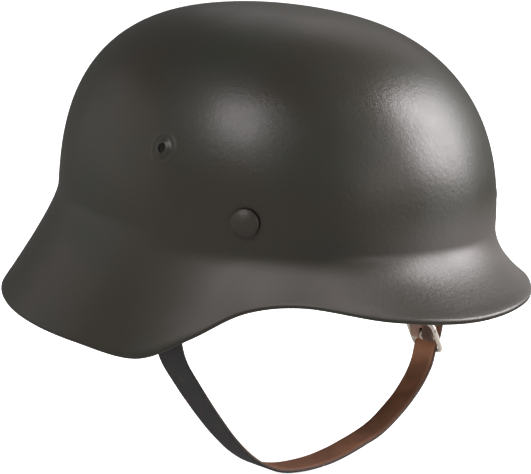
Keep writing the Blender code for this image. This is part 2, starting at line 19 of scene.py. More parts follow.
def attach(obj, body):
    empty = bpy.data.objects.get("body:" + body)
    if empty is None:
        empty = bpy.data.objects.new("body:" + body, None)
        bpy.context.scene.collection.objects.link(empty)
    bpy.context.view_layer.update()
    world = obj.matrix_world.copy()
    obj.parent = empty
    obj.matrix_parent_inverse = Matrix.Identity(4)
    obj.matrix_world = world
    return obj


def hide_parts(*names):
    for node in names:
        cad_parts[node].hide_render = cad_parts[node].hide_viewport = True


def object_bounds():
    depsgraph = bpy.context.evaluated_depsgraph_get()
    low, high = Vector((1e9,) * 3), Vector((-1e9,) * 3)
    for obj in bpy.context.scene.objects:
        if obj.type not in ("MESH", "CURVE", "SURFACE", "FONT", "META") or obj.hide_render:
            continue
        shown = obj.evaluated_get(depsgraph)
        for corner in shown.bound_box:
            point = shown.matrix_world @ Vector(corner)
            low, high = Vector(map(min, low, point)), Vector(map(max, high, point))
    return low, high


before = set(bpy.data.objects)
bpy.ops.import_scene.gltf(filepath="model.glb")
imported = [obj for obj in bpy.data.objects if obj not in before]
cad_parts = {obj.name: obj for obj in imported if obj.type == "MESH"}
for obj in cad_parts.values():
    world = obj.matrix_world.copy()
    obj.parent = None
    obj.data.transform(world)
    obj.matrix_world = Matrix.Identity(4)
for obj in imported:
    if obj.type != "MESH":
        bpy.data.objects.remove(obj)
cad_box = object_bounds()


def rounded(values):
    """Numbers in metres, cut to tenths of a millimetre for printing."""
    return [round(value, 4) for value in values]


print("CAD box from", rounded(cad_box[0]), "to", rounded(cad_box[1]))

# %% [markdown]
# ## Camera
# A product photograph is taken from a little above and with a long lens, so that the bowl keeps its
# true shape. The viewing direction is given by the angle round the helmet from its visor, counted
# towards the wearer's left, by the angle above the ground and by a small roll. Building the camera's
# own three axes from these, and moving it back along the last one, is exact. Aiming it with a
# constraint would leave the roll out.

# %% Place the camera
CAMERA_AROUND = -43.5
CAMERA_ABOVE = 12.2
CAMERA_ROLL = 4.0
CAMERA_DISTANCE = 1.5
PICTURE_WIDTH = 531
FOCAL_PIXELS = 3012
SENSOR_WIDTH = 36.0
AIM_ACROSS = -0.0094
AIM_UP = -0.0138


def toward(around, above):
    """Direction away from the helmet, in degrees round from the visor and above the ground."""
    around, above = math.radians(around), math.radians(above)
    return Vector((math.sin(around) * math.cos(above), -math.cos(around) * math.cos(above), math.sin(above)))


to_camera = toward(CAMERA_AROUND, CAMERA_ABOVE)
turn, roll = math.radians(CAMERA_AROUND), math.radians(CAMERA_ROLL)
level = Vector((math.cos(turn), math.sin(turn), 0.0))
upright = to_camera.cross(level)
lens_axes = Matrix((level * math.cos(roll) + upright * math.sin(roll),
                    upright * math.cos(roll) - level * math.sin(roll), to_camera)).transposed()
aim = AIM_ACROSS * level + AIM_UP * upright

camera_data = bpy.data.cameras.new("camera")
camera_data.sensor_width = SENSOR_WIDTH
camera_data.lens = FOCAL_PIXELS / PICTURE_WIDTH * SENSOR_WIDTH
camera = bpy.data.objects.new("camera", camera_data)
bpy.context.scene.collection.objects.link(camera)
camera.matrix_world = Matrix.Translation(aim + CAMERA_DISTANCE * to_camera) @ lens_axes.to_4x4()
bpy.context.scene.camera = camera
print("camera lens", round(camera_data.lens, 1), "mm at", rounded(camera.location))

# %% [markdown]
# ## Shader arithmetic
# A finish is a tree of nodes, and trees are hard to read as lists of links. A small class can stand
# for one socket and answer to Python's arithmetic signs, so that `1 - mask` simply adds the Math
# node that it names. A second class holds the tree and makes every other kind of node in one method.

# %% Sockets that answer to arithmetic
class Value:
    """One shader socket; arithmetic on it adds Math nodes to its finish."""

    def __init__(self, finish, socket):
        self.finish = finish
        self.socket = socket

    def math(self, operation, first, second):
        """The result of a Math node."""
        return self.finish.node("ShaderNodeMath", {"operation": operation}, {0: first, 1: second})

    def __add__(self, other):
        return self.math("ADD", self, other)

    def __radd__(self, other):
        return self.math("ADD", other, self)

    def __sub__(self, other):
        return self.math("SUBTRACT", self, other)

    def __rsub__(self, other):
        return self.math("SUBTRACT", other, self)

    def __mul__(self, other):
        return self.math("MULTIPLY", self, other)

    def __rmul__(self, other):
        return self.math("MULTIPLY", other, self)


# %% A finish and its nodes
class Blots(NamedTuple):
    """Irregular spots made from noise, which start at its value low and are full at high."""

    scale: float
    detail: float
    low: float
    high: float
    roughness: float = 0.5


class Finish:
    """A procedural material under construction."""

    def __init__(self, name):
        self.material = bpy.data.materials.new(name)
        self.material.use_nodes = True
        self.tree = self.material.node_tree
        self.shader = self.tree.nodes["Principled BSDF"]

    def node(self, kind, settings=None, inputs=None, output=0):
        """A node with its settings made first, then its sockets; gives one output as a Value."""
        made = self.tree.nodes.new(kind)
        for name, value in (settings or {}).items():
            setattr(made, name, value)
        for key, value in (inputs or {}).items():
            self.feed(made.inputs[key], value)
        return Value(self, made.outputs[output])

    def feed(self, socket, value):
        """Link a value to a socket, or set the number or colour on it."""
        if isinstance(value, Value):
            self.tree.links.new(value.socket, socket)
        elif isinstance(value, tuple) and len(value) == 3 and socket.type == "RGBA":
            socket.default_value = (*value, 1.0)
        else:
            socket.default_value = value

    def place(self):
        """Where a point lies on the helmet, in metres."""
        return self.node("ShaderNodeTexCoord", output="Object")

    def cloud(self, where, scale, detail=3.0, roughness=0.5):
        """Soft irregular pattern between about 0.25 and 0.75."""
        return self.node("ShaderNodeTexNoise", inputs={"Vector": where, "Scale": scale, "Detail": detail,
                                                       "Roughness": roughness})

    def cells(self, where, scale, feature="F1"):
        """Distance to the middle, or to the border, of irregular cells."""
        return self.node("ShaderNodeTexVoronoi", {"feature": feature}, {"Vector": where, "Scale": scale},
                         "Distance")

    def stretch(self, where, factors):
        """The same place with each axis scaled."""
        return self.node("ShaderNodeMapping", inputs={"Vector": where, "Scale": factors})

    def between(self, value, low, high):
        """Smooth step from 0 at low to 1 at high."""
        return self.node("ShaderNodeMapRange", {"interpolation_type": "SMOOTHSTEP"},
                         {"Value": value, "From Min": low, "From Max": high})

    def blots(self, where, kind):
        """Mask of irregular spots of one kind."""
        return self.between(self.cloud(where, kind.scale, kind.detail, kind.roughness), kind.low, kind.high)

    def mix(self, mask, first, second):
        """Colour that goes from the first to the second as the mask goes from 0 to 1."""
        return self.node("ShaderNodeMix", {"data_type": "RGBA"}, {0: mask, 6: first, 7: second}, output=2)

    def bump(self, height, depth, below=None):
        """Relief of a depth in metres, on top of the relief below it."""
        inputs = {"Height": height, "Distance": depth, "Strength": 1.0}
        if below:
            inputs["Normal"] = below
        return self.node("ShaderNodeBump", inputs=inputs)

    def dress(self, **sockets):
        """Feed the main shader; underscores in a name stand for spaces."""
        for name, value in sockets.items():
            self.feed(self.shader.inputs[name.replace("_", " ")], value)
        return self.material


print("a finish starts with", len(Finish("trial").tree.nodes), "nodes")
bpy.data.materials.remove(bpy.data.materials["trial"])

# %% [markdown]
# ## Studio
# The helmet stands in an even, pale room. Its broad pale highlight is the mirror image of one large
# soft light on the right, and a weaker one on the left draws the second, softer patch. Those two are
# placed by following the camera's ray off the bowl at each highlight. A low light in front lifts the
# visor and the ear skirt, and two weak ones behind keep the far sides from going black. All five have
# a faint tint, which keeps the highlights from turning green. The floor is a plain pale sheet below
# the strap. It glows a little, which lifts it to an even white and fills the shadow on it, as on a
# lit table. It is hidden from glossy rays, so that the dark paint doesn't mirror it too brightly.

# %% Floor
FLOOR_GAP = 0.004
FLOOR_HALF = 6.0

floor_height = cad_box[0][2] - FLOOR_GAP
floor_mesh = bpy.data.meshes.new("floor")
floor_corners = [(x * FLOOR_HALF, y * FLOOR_HALF, floor_height)
                 for x, y in ((-1, -1), (1, -1), (1, 1), (-1, 1))]
floor_mesh.from_pydata(floor_corners, [], [(0, 1, 2, 3)])
floor = bpy.data.objects.new("floor", floor_mesh)
bpy.context.scene.collection.objects.link(floor)
floor.visible_glossy = False
print("floor at", round(floor_height, 4), "m")

# %% Floor paper
FLOOR_COLOR = (0.93, 0.93, 0.92)
FLOOR_DARKER = tuple(0.99 * part for part in FLOOR_COLOR)
FLOOR_MOTTLE = Blots(3.0, 3.0, 0.3, 0.7)
FLOOR_GLOW = 1.0

floor_finish = Finish("floor_paper")
floor_mottle = floor_finish.blots(floor_finish.place(), FLOOR_MOTTLE)
floor_mesh.materials.append(floor_finish.dress(
    Base_Color=floor_finish.mix(floor_mottle, FLOOR_COLOR, FLOOR_DARKER),
    Roughness=0.95, Specular_IOR_Level=0.1, Emission_Color=FLOOR_COLOR, Emission_Strength=FLOOR_GLOW))
print("floor paper reflects", FLOOR_COLOR, "and glows", FLOOR_GLOW)


# %% Soft lights
class SoftLight(NamedTuple):
    """A soft light: degrees round from the visor, above the ground and of lean, its sizes and its power."""

    name: str
    around: float
    above: float
    lean: float
    distance: float
    width: float
    height: float
    power: float


LIGHTS = (
    SoftLight("key_right", 61.0, 29.0, -32.0, 1.5, 0.74, 1.02, 35.5),
    SoftLight("fill_left", -88.0, 46.0, 0.0, 1.6, 0.80, 0.80, 12.0),
    SoftLight("front_low", 12.0, 20.0, 0.0, 2.2, 1.20, 0.80, 4.5),
    SoftLight("rear_left", -150.0, 10.0, 0.0, 2.0, 1.60, 1.20, 2.4),
    SoftLight("rear_top", 126.0, 32.0, 0.0, 2.0, 1.30, 0.90, 1.8),
)
LIGHT_TINT = (1.0, 0.968, 0.978)


def hang_light(soft):
    """A rectangular area light that faces the helmet."""
    lamp_data = bpy.data.lights.new(soft.name, "AREA")
    lamp_data.shape = "RECTANGLE"
    lamp_data.size = soft.width
    lamp_data.size_y = soft.height
    lamp_data.energy = soft.power
    lamp_data.color = LIGHT_TINT
    lamp = bpy.data.objects.new(soft.name, lamp_data)
    bpy.context.scene.collection.objects.link(lamp)
    direction = toward(soft.around, soft.above)
    lamp.matrix_world = Matrix.Translation(direction * soft.distance) @ (
        direction.to_track_quat("Z", "Y").to_matrix().to_4x4()) @ (
        Matrix.Rotation(math.radians(soft.lean), 4, "Z"))
    return lamp


for soft in LIGHTS:
    hang_light(soft)
print(len(LIGHTS), "lights,", round(sum(soft.power for soft in LIGHTS), 1), "W")

# %% Pale room
ROOM_COLOR = (0.15, 0.15, 0.15)

room = bpy.data.worlds.new("pale_room")
room.use_nodes = True
room.node_tree.nodes["Background"].inputs["Color"].default_value = (*ROOM_COLOR, 1.0)
bpy.context.scene.world = room
bpy.context.scene.view_settings.view_transform = "Standard"
print("light of the room", ROOM_COLOR)

# %% [markdown]
# ## The pressed bowl as a formula
# Seen from above the bowl is a rounded oval; seen from the side it rises to a full, slightly flattened
# crown that sits behind the middle. Below its widest line one bend all round makes visor, skirt and
# neck guard, and a short table says how far that edge stands out and down at each angle. One could
# model it by hand with a subdivision surface, but a formula gives the same true form as the CAD model
# and any fineness that is wanted.

# %% Driving sizes of the bowl
HALF_WIDTH = 0.099
FRONT_LENGTH = 0.104
REAR_LENGTH = 0.127
DOME_HEIGHT = 0.100
WALL = 0.0012
PLAN_SQUARENESS = 2.15
DOME_FULLNESS = 2.5
DOME_SQUARENESS = 2.6
CROWN_SETBACK = 0.0095
CROWN_SETBACK_CURVE = 1.9
FLARE_START = 0.0025
FLARE_KNEE = 0.0105
BRIM_REACH = 0.030
SKIRT_DROP = 0.058
EDGE_ROLL_RADIUS = 0.0016


class RimStation(NamedTuple):
    """How far the edge stands out and down at an angle from the front, as shares of the named sizes."""

    angle: float
    reach: float
    drop: float


RIM = (
    RimStation(0.0, 1.00, 0.415),
    RimStation(20.0, 0.90, 0.37),
    RimStation(38.0, 0.51, 0.315),
    RimStation(52.0, 0.29, 0.44),
    RimStation(66.0, 0.23, 0.735),
    RimStation(82.0, 0.27, 1.00),
    RimStation(100.0, 0.60, 0.97),
    RimStation(125.0, 0.80, 0.94),
    RimStation(150.0, 0.87, 0.90),
    RimStation(180.0, 0.87, 0.90),
)


# %% Values along the rim
def rim_share(column, angle):
    """Smooth value of a rim column at angles from the front in degrees, the same on both sides."""
    angle = np.abs((angle + 180.0) % 360.0 - 180.0)
    knots = np.array([station.angle for station in RIM])
    values = np.array([getattr(station, column) for station in RIM])
    slopes = np.zeros(len(RIM))
    slopes[1:-1] = (values[2:] - values[:-2]) / (knots[2:] - knots[:-2])
    index = np.clip(np.searchsorted(knots, angle, side="right") - 1, 0, len(RIM) - 2)
    span = knots[index + 1] - knots[index]
    t = (angle - knots[index]) / span
    return ((2 * t ** 3 - 3 * t ** 2 + 1) * values[index] + (t ** 3 - 2 * t ** 2 + t) * span * slopes[index]
            + (3 * t ** 2 - 2 * t ** 3) * values[index + 1] + (t ** 3 - t ** 2) * span * slopes[index + 1])


print("skirt drops", round(1000 * SKIRT_DROP * float(rim_share("drop", 82.0)), 1), "mm over the ear")


# %% Plan and dome
def plan_point(angle):
    """Points of the widest outline and their outward directions, for angles from the front."""
    turn = np.radians(angle)
    across, along = np.sin(turn), np.cos(turn)
    length = np.where(along > 0, FRONT_LENGTH, REAR_LENGTH)
    power = PLAN_SQUARENESS
    radius = (np.abs(across / HALF_WIDTH) ** power + np.abs(along / length) ** power) ** (-1 / power)
    x, y = -radius * across, -radius * along
    slope = np.stack([np.sign(x) * (np.abs(x) / HALF_WIDTH) ** (power - 1) / HALF_WIDTH,
                      np.sign(y) * (np.abs(y) / length) ** (power - 1) / length, 0 * x], -1)
    return np.stack([x, y, 0 * x], -1), slope / np.linalg.norm(slope, axis=-1, keepdims=True)


def dome_point(angle, height):
    """Points on the outside of the dome."""
    rise = np.clip(height, 0.0, DOME_HEIGHT) / DOME_HEIGHT
    shrink = (1 - rise ** DOME_FULLNESS) ** (1 / DOME_SQUARENESS)
    widest, _ = plan_point(angle)
    setback = CROWN_SETBACK * rise ** CROWN_SETBACK_CURVE
    return np.stack([shrink * widest[..., 0], setback + shrink * widest[..., 1], height + 0 * angle], -1)


print("dome's foot at the front", dome_point(0.0, 0.0).round(4))


# %% Flare and the whole outside
def flare_point(angle, share):
    """Points on the outside of the flare; share runs from 0 at the dome to 1 at the edge."""
    foot = dome_point(angle, FLARE_START + 0 * angle)
    _, outward = plan_point(angle)
    drop = -SKIRT_DROP * rim_share("drop", angle)
    foot[..., 2] = ((1 - share) ** 2 * FLARE_START + 2 * share * (1 - share) * (FLARE_START - FLARE_KNEE)
                    + share ** 2 * drop)
    return foot + outward * (BRIM_REACH * rim_share("reach", angle) * share ** 2)[..., None]


def outside(angle, run):
    """Outside of the bowl; run is 0 at the crown, 1 at the dome's foot and 2 at the edge."""
    angle, run = np.broadcast_arrays(np.asarray(angle, float), np.asarray(run, float))
    height = DOME_HEIGHT - (DOME_HEIGHT - FLARE_START) * np.minimum(run, 1.0) ** 2
    on_flare = flare_point(angle, np.maximum(run - 1, 0))
    return np.where((run <= 1)[..., None], dome_point(angle, height), on_flare)


print("visor edge at", outside(0.0, 2.0).round(4), "skirt edge at", outside(82.0, 2.0).round(4))

# %% Directions on the bowl
ANGLE_STEP = 0.05
RUN_STEP = 0.0005


def unit(vectors):
    """Vectors scaled to length 1."""
    return vectors / np.linalg.norm(vectors, axis=-1, keepdims=True)


def bowl_axes(angle, run):
    """Directions round the bowl, down it and straight out of it."""
    side = unit(outside(angle + ANGLE_STEP, run) - outside(angle - ANGLE_STEP, run))
    down = unit(outside(angle, run + RUN_STEP) - outside(angle, run - RUN_STEP))
    return side, down, unit(np.cross(side, down))


def under_skin(angle, run, depth):
    """Points straight under the outside by a depth."""
    return outside(angle, run) - depth * bowl_axes(angle, run)[2]


def run_at(height):
    """Run value at a height on the dome."""
    return math.sqrt((DOME_HEIGHT - height) / (DOME_HEIGHT - FLARE_START))


def wall_frame(angle, height):
    """Placement on the dome's wall, with its own Z pointing out and its own Y up the wall."""
    run = run_at(height)
    side, _, out = bowl_axes(angle, run)
    columns = Matrix((Vector(side), Vector(np.cross(out, side)), Vector(out))).transposed().to_4x4()
    columns.translation = Vector(outside(angle, run))
    return columns


# %% [markdown]
# ## Stamped vents
# Each side has an air vent. On the real helmet a punch raises a low collar with a soft ridge round it
# and pierces the middle, so the relief belongs to the sheet itself. Here a small profile lifts the
# bowl's points by their distance from the vent's axis, outside and inside alike, so the wall keeps its
# thickness. A separate ring laid on the bowl would show a seam.

# %% Vent relief
VENT_ANGLE = 82.0
VENT_ANGLES = (VENT_ANGLE, -VENT_ANGLE)
VENT_HEIGHT = 0.041
VENT_HOLE_RADIUS = 0.0024
VENT_COLLAR_TOP = 0.0024
VENT_COLLAR_FOOT = 0.0056
VENT_COLLAR_HEIGHT = 0.0014
VENT_RIDGE_RADIUS = 0.0067
VENT_RIDGE_WIDTH = 0.0009
VENT_RIDGE_HEIGHT = 0.00028


def ease(value, low, high):
    """Smooth step from 0 at low to 1 at high."""
    t = np.clip((value - low) / (high - low), 0.0, 1.0)
    return t * t * (3 - 2 * t)


def vent_lift(points):
    """How far the stamping lifts each point."""
    lift = np.zeros(points.shape[:-1])
    for angle in VENT_ANGLES:
        place = np.array(wall_frame(angle, VENT_HEIGHT))
        local = (points - place[:3, 3]) @ place[:3, :3]
        radius = np.hypot(local[..., 0], local[..., 1])
        near = np.abs(local[..., 2]) < HALF_WIDTH / 2
        relief = (VENT_COLLAR_HEIGHT * ease(-radius, -VENT_COLLAR_FOOT, -VENT_COLLAR_TOP)
                  + VENT_RIDGE_HEIGHT * np.exp(-((radius - VENT_RIDGE_RADIUS) / VENT_RIDGE_WIDTH) ** 2))
        lift += np.where(near, relief, 0.0)
    return lift


print("vent on the right at", rounded(wall_frame(VENT_ANGLE, VENT_HEIGHT).translation))

# %% [markdown]
# ## Rows and columns of the bowl's mesh
# The bowl is a grid: columns are angles round it and rows run from the crown to the edge. An even grid
# fine enough for the vents would hold millions of faces, so the grid is only fine where a vent lies.
# The rows go down the outside, round the rolled edge and up the inside, which closes the sheet.

# %% Grid lines
COLUMN_STEP = 2.0
FINE_COLUMN_STEP = 0.30
FINE_COLUMN_REACH = 5.7
ROW_STEP = 0.020
FINE_ROW_STEP = 0.0034
FINE_ROW_REACH = 0.058
FLARE_ROWS = 28
ROLL_STEPS = 16


def lines(start, stop, step, fine_step, fine_reach, centres):
    """Evenly spaced numbers with a finer stretch round each centre."""
    even = np.arange(start, stop, step)
    for centre in centres:
        even = even[np.abs(even - centre) > fine_reach + fine_step / 2]
    fine = [np.arange(centre - fine_reach, centre + fine_reach, fine_step) for centre in centres]
    return np.sort(np.concatenate([even, *fine]))


vent_columns = [angle % 360.0 for angle in VENT_ANGLES]
columns = lines(0.0, 360.0, COLUMN_STEP, FINE_COLUMN_STEP, FINE_COLUMN_REACH, vent_columns)
dome_rows = lines(ROW_STEP, 1.0, ROW_STEP, FINE_ROW_STEP, FINE_ROW_REACH, (run_at(VENT_HEIGHT),))
flare_rows = 1 + np.arange(0, FLARE_ROWS + 1) / FLARE_ROWS
runs = np.concatenate([dome_rows, flare_rows])
print(len(columns), "columns,", len(runs), "rows outside")

# %% [markdown]
# ## Rolled edge
# The raw edge of the sheet is curled inward into a bead about three millimetres thick, which stiffens
# it. The bead stands a fiftieth of a millimetre proud of the wall, with a hollow of twice that above
# it. Both are thinner than paper, but a low sheen shows them where one flat slope would look drawn.

# %% Outside, bead and inside rows
BEAD_PROUD = 0.00002
BEAD_START = 0.0042
HOLLOW_DEPTH = 0.00004


def edge_distance(angle):
    """Distance of every row from the edge, measured down the outside."""
    track = outside(angle[None, :], runs[:, None])
    steps = np.linalg.norm(np.diff(track, axis=0), axis=-1)
    return np.concatenate([np.cumsum(steps[::-1], axis=0)[::-1], np.zeros((1, len(angle)))])


skin = outside(columns[None, :], runs[:, None])
side, down, out = bowl_axes(columns[None, :], runs[:, None])
to_edge = edge_distance(columns)
hollow = HOLLOW_DEPTH * np.sin(np.pi * np.clip(to_edge / BEAD_START - 1, 0, 1)) ** 2
bead = BEAD_PROUD * ease(-to_edge, -BEAD_START, -BEAD_START / 2)
lift = (vent_lift(skin) + bead - hollow)[..., None]
outer_rows = skin + lift * out
inner_rows = (skin + (vent_lift(skin)[..., None] - WALL) * out)[:-1]

last_out, last_down = out[-1], down[-1]
roll_centre = outer_rows[-1] - EDGE_ROLL_RADIUS * last_out
full_turn = 2 * math.pi - math.acos((EDGE_ROLL_RADIUS - WALL) / EDGE_ROLL_RADIUS)
roll_turns = full_turn * np.arange(1, ROLL_STEPS + 1) / ROLL_STEPS
roll_rows = (roll_centre + EDGE_ROLL_RADIUS * (np.cos(roll_turns)[:, None, None] * last_out
                                               + np.sin(roll_turns)[:, None, None] * last_down))
bowl_rows = np.concatenate([outer_rows, roll_rows, inner_rows[::-1]])
print("bowl grid", bowl_rows.shape, "widest", round(float(np.ptp(bowl_rows[..., 0])), 4), "m")


# %% [markdown]
# ## From points to pieces
# Every piece goes the same way: points and faces become a mesh, the faces are turned outward, hard
# edges are marked by angle, and the piece is hung on the root body while the CAD nodes that it stands
# for are hidden.

# %% Meshes from points and faces
def grid_faces(rows, sides, rows_close=False):
    """Quads between neighbouring rows of points, each row closed on itself."""
    row = np.arange(rows if rows_close else rows - 1)[:, None]
    side = np.arange(sides)[None, :]
    after, turn = (row + 1) % rows, (side + 1) % sides
    quads = np.stack([row * sides + side, row * sides + turn, after * sides + turn, after * sides + side], -1)
    return quads.reshape(-1, 4).tolist()


def make_mesh(name, points, faces, finish, sharp=40.0):
    """An object from points and faces, faces outward, with smooth shading and hard edges by angle."""
    mesh = bpy.data.meshes.new(name)
    mesh.from_pydata([tuple(map(float, point)) for point in points], [], faces)
    work = bmesh.new()
    work.from_mesh(mesh)
    bmesh.ops.recalc_face_normals(work, faces=work.faces)
    work.to_mesh(mesh)
    work.free()
    mesh.materials.append(finish)
    mesh.shade_smooth()
    mesh.set_sharp_from_angle(angle=math.radians(sharp))
    made = bpy.data.objects.new(name, mesh)
    bpy.context.scene.collection.objects.link(made)
    return made


# %% Settling a piece in the frame
def settle(made, slot, *nodes):
    """Hang a piece on the root body and hide the CAD nodes that it stands for."""
    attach(made, "root")
    if nodes:
        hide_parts(*nodes)
    made.data.calc_loop_triangles()
    print(made.name, "has", len(made.data.loop_triangles), "triangles")


# %% Turned and joined parts
def turned(profile, sides):
    """Points and faces of a profile of (radius, height) turned about Z; both ends lie on the axis."""
    turns = 2 * np.pi * np.arange(sides) / sides
    rings = np.array([[(radius * math.cos(turn), radius * math.sin(turn), height) for turn in turns]
                      for radius, height in profile[1:-1]])
    points = [(0.0, 0.0, profile[0][1]), *rings.reshape(-1, 3).tolist(), (0.0, 0.0, profile[-1][1])]
    faces = [[index + 1 for index in face] for face in grid_faces(len(rings), sides)]
    last = len(points) - 1
    for side in range(sides):
        turn = (side + 1) % sides
        faces.append([0, 1 + turn, 1 + side])
        faces.append([last - sides + side, last - sides + turn, last])
    return points, faces


def joined(name, parts, finish):
    """One mesh from several sets of points and faces."""
    points, faces = [], []
    for part_points, part_faces in parts:
        start = len(points)
        points += [tuple(point) for point in part_points]
        faces += [[index + start for index in face] for face in part_faces]
    return make_mesh(name, points, faces, finish)


# %% Where the split pins sit
PIN_ANGLE = 54.3
REAR_PIN_ANGLE = 180.0
PINS = (("split_pin_right", PIN_ANGLE), ("split_pin_left", -PIN_ANGLE), ("split_pin_rear", REAR_PIN_ANGLE))
PIN_HEIGHT = 0.0133
PIN_HEAD_RADIUS = 0.0069
print(len(PINS), "pins at height", PIN_HEIGHT)

# %% [markdown]
# ## Field paint
# The steel carries a dark grey-green paint, sprayed thin and semi-matte. Close up it has a fine grain
# and a slight orange peel, and with use it picks up small pale specks, faint rubbed streaks and
# lighter rubbing along the bead. The lowest faces are painted pale as a sheen. Dust lies on the flare
# round the ears and in the hollow above the visor, and its pale colour there is also a painted
# highlight. A painted shadow lies in the gaps beside the pin heads, and the inside and the faces that
# look down are painted darker as shade. The patterns are noise at the scale of the real thing: the
# texture space is the helmet's own, in metres, so a scale of 1000 makes grains of about a millimetre.
# Where dust lies comes from the place and the slope of each face, which holds from every side. A
# painted picture of it would need an unwrapped surface.

# %% Paint colours
PAINT_COLOR = (0.028, 0.0235, 0.0170)
PAINT_GREENER = (0.024, 0.0245, 0.0175)
PAINT_RUBBED = (0.070, 0.065, 0.055)
# Painted shade: the inside and the faces that look down are darkened to this.
PAINT_IN_SHADE = (0.008, 0.0075, 0.0065)
PAINT_SHADED = (0.003, 0.0028, 0.0025)
# Pale dust, which also paints highlight on the flare round the ears and above the visor.
PAINT_DUST_AND_HIGHLIGHT = (0.100, 0.090, 0.084)
# Pale specks; the lowest faces get the same colour as a painted sheen.
SPECK_AND_SHEEN_COLOR = (0.16, 0.15, 0.13)
print("dusty paint reflects", round(PAINT_DUST_AND_HIGHLIGHT[0] / PAINT_COLOR[0], 1), "times as much as clean paint")

# %% Where dust lies, and where shade, sheen and highlight are painted
FACING_UP = (0.04, 0.22)
FACING_DOWN = (0.10, 0.45)
LOWEST_LINE = (0.82, 0.96)
INSIDE_FADE = 0.02
DUST_FADE = 0.010
DUST_FRONT = 0.012
DUST_SIDE = 0.066
DUST_SPREAD = 0.055
DUST_LOSS = 0.25
HOLLOW_LOW = -0.014
HOLLOW_FULL = 0.002
HOLLOW_HIGH = 0.026
HOLLOW_BACK = 0.050
HOLLOW_FRONT = 0.090
HOLLOW_RIGHT = -0.060
HOLLOW_LEFT = 0.020


class Zones(NamedTuple):
    """Masks, 0 to 1: inside and two facing down for painted shade and sheen, three for dust and highlight."""

    inside: Value
    below: Value
    lowest: Value
    flare: Value
    ears: Value
    hollow: Value


def paint_zones(paint, where):
    """Masks worked out from the place and the direction of each face."""
    normal = paint.node("ShaderNodeNewGeometry", output="Normal")
    outward = paint.node("ShaderNodeVectorMath", {"operation": "DOT_PRODUCT"}, {0: normal, 1: where}, "Value")
    upward = paint.node("ShaderNodeSeparateXYZ", inputs={0: normal}, output="Z")
    split = paint.node("ShaderNodeSeparateXYZ", inputs={0: where}).socket.node
    across, back, height = (Value(paint, socket) for socket in split.outputs)
    inside = paint.between(0 - outward, 0.0, INSIDE_FADE)
    flare = paint.between(upward, *FACING_UP) * paint.between(0 - height, 0.0, DUST_FADE)
    beside = paint.between(across * across, DUST_FRONT ** 2, DUST_SIDE ** 2)
    ahead = paint.between(0 - back, 0.0, DUST_SPREAD)
    low = paint.between(0 - height, DUST_FADE, 3 * DUST_FADE)
    ears = flare * beside * ahead * (1 - DUST_LOSS * low) * (1 - inside)
    hollow = (paint.between(height, HOLLOW_LOW, HOLLOW_FULL)
              * (1 - paint.between(height, HOLLOW_FULL, HOLLOW_HIGH))
              * paint.between(0 - back, HOLLOW_BACK, HOLLOW_FRONT)
              * paint.between(across, HOLLOW_RIGHT, HOLLOW_LEFT) * (1 - inside))
    return Zones(inside, paint.between(0 - upward, *FACING_DOWN), paint.between(0 - upward, *LOWEST_LINE),
                 flare, ears, hollow)


# %% Painted shadow beside the pin heads
HEAD_SHADE_SHIFT = 0.0005
HEAD_SHADE_INSET = 0.0001
HEAD_SHADE_BLUR = 0.0004


def under_heads(paint, where):
    """Mask of the painted shadow in the gaps beside the pin heads, on the side of the visor."""
    mask = 0
    edge = PIN_HEAD_RADIUS - HEAD_SHADE_INSET
    for _, angle in PINS:
        frame_here = wall_frame(angle, PIN_HEIGHT)
        sideways = Vector(frame_here.col[0][:3])
        forward = sideways * (-1 if sideways.y > 0 else 1)
        centre = frame_here.translation + HEAD_SHADE_SHIFT * (forward - Vector(frame_here.col[1][:3]))
        away = paint.node("ShaderNodeVectorMath", {"operation": "DISTANCE"}, {0: where, 1: tuple(centre)},
                          "Value")
        mask = mask + (1 - paint.between(away, edge, edge + HEAD_SHADE_BLUR))
    return mask


# %% Patterns of the paint
GRAIN_SCALE = 1300.0
PEEL_SCALE = 420.0
PEEL_DEPTH = 0.00008
PATCHES = Blots(16.0, 4.0, 0.35, 0.65)
STREAKS = Blots(1.0, 4.0, 0.66, 0.78, 0.7)
STREAK_SCALES = (30.0, 140.0, 420.0)
SPECK_SCALE = 95.0
SPECK_RADII = (0.020, 0.045)
SPECK_GROUPS = Blots(60.0, 3.0, 0.52, 0.62)
EDGE_STEP = (0.53, 0.62)
WORN_SPOTS = Blots(300.0, 4.0, 0.40, 0.60)
print("grains of", round(1000 / GRAIN_SCALE, 1), "mm, peel of", round(1000 / PEEL_SCALE, 1), "mm")

# %% Paint finish
STREAK_SHARE = 0.25
SPECK_SHARE = 0.5
SHADE_BELOW = 0.30
EAR_DUST_AND_HIGHLIGHT = (0.70, 0.30)
HOLLOW_DUST_AND_HIGHLIGHT = 0.64
PATCH_DULL = 0.10
GRAIN_DULL = 0.08
EDGE_DULL = 0.25
FLARE_DULL = 0.05
EAR_DULL = 0.20
HOLLOW_DULL = 0.10
INSIDE_DULL = 0.40


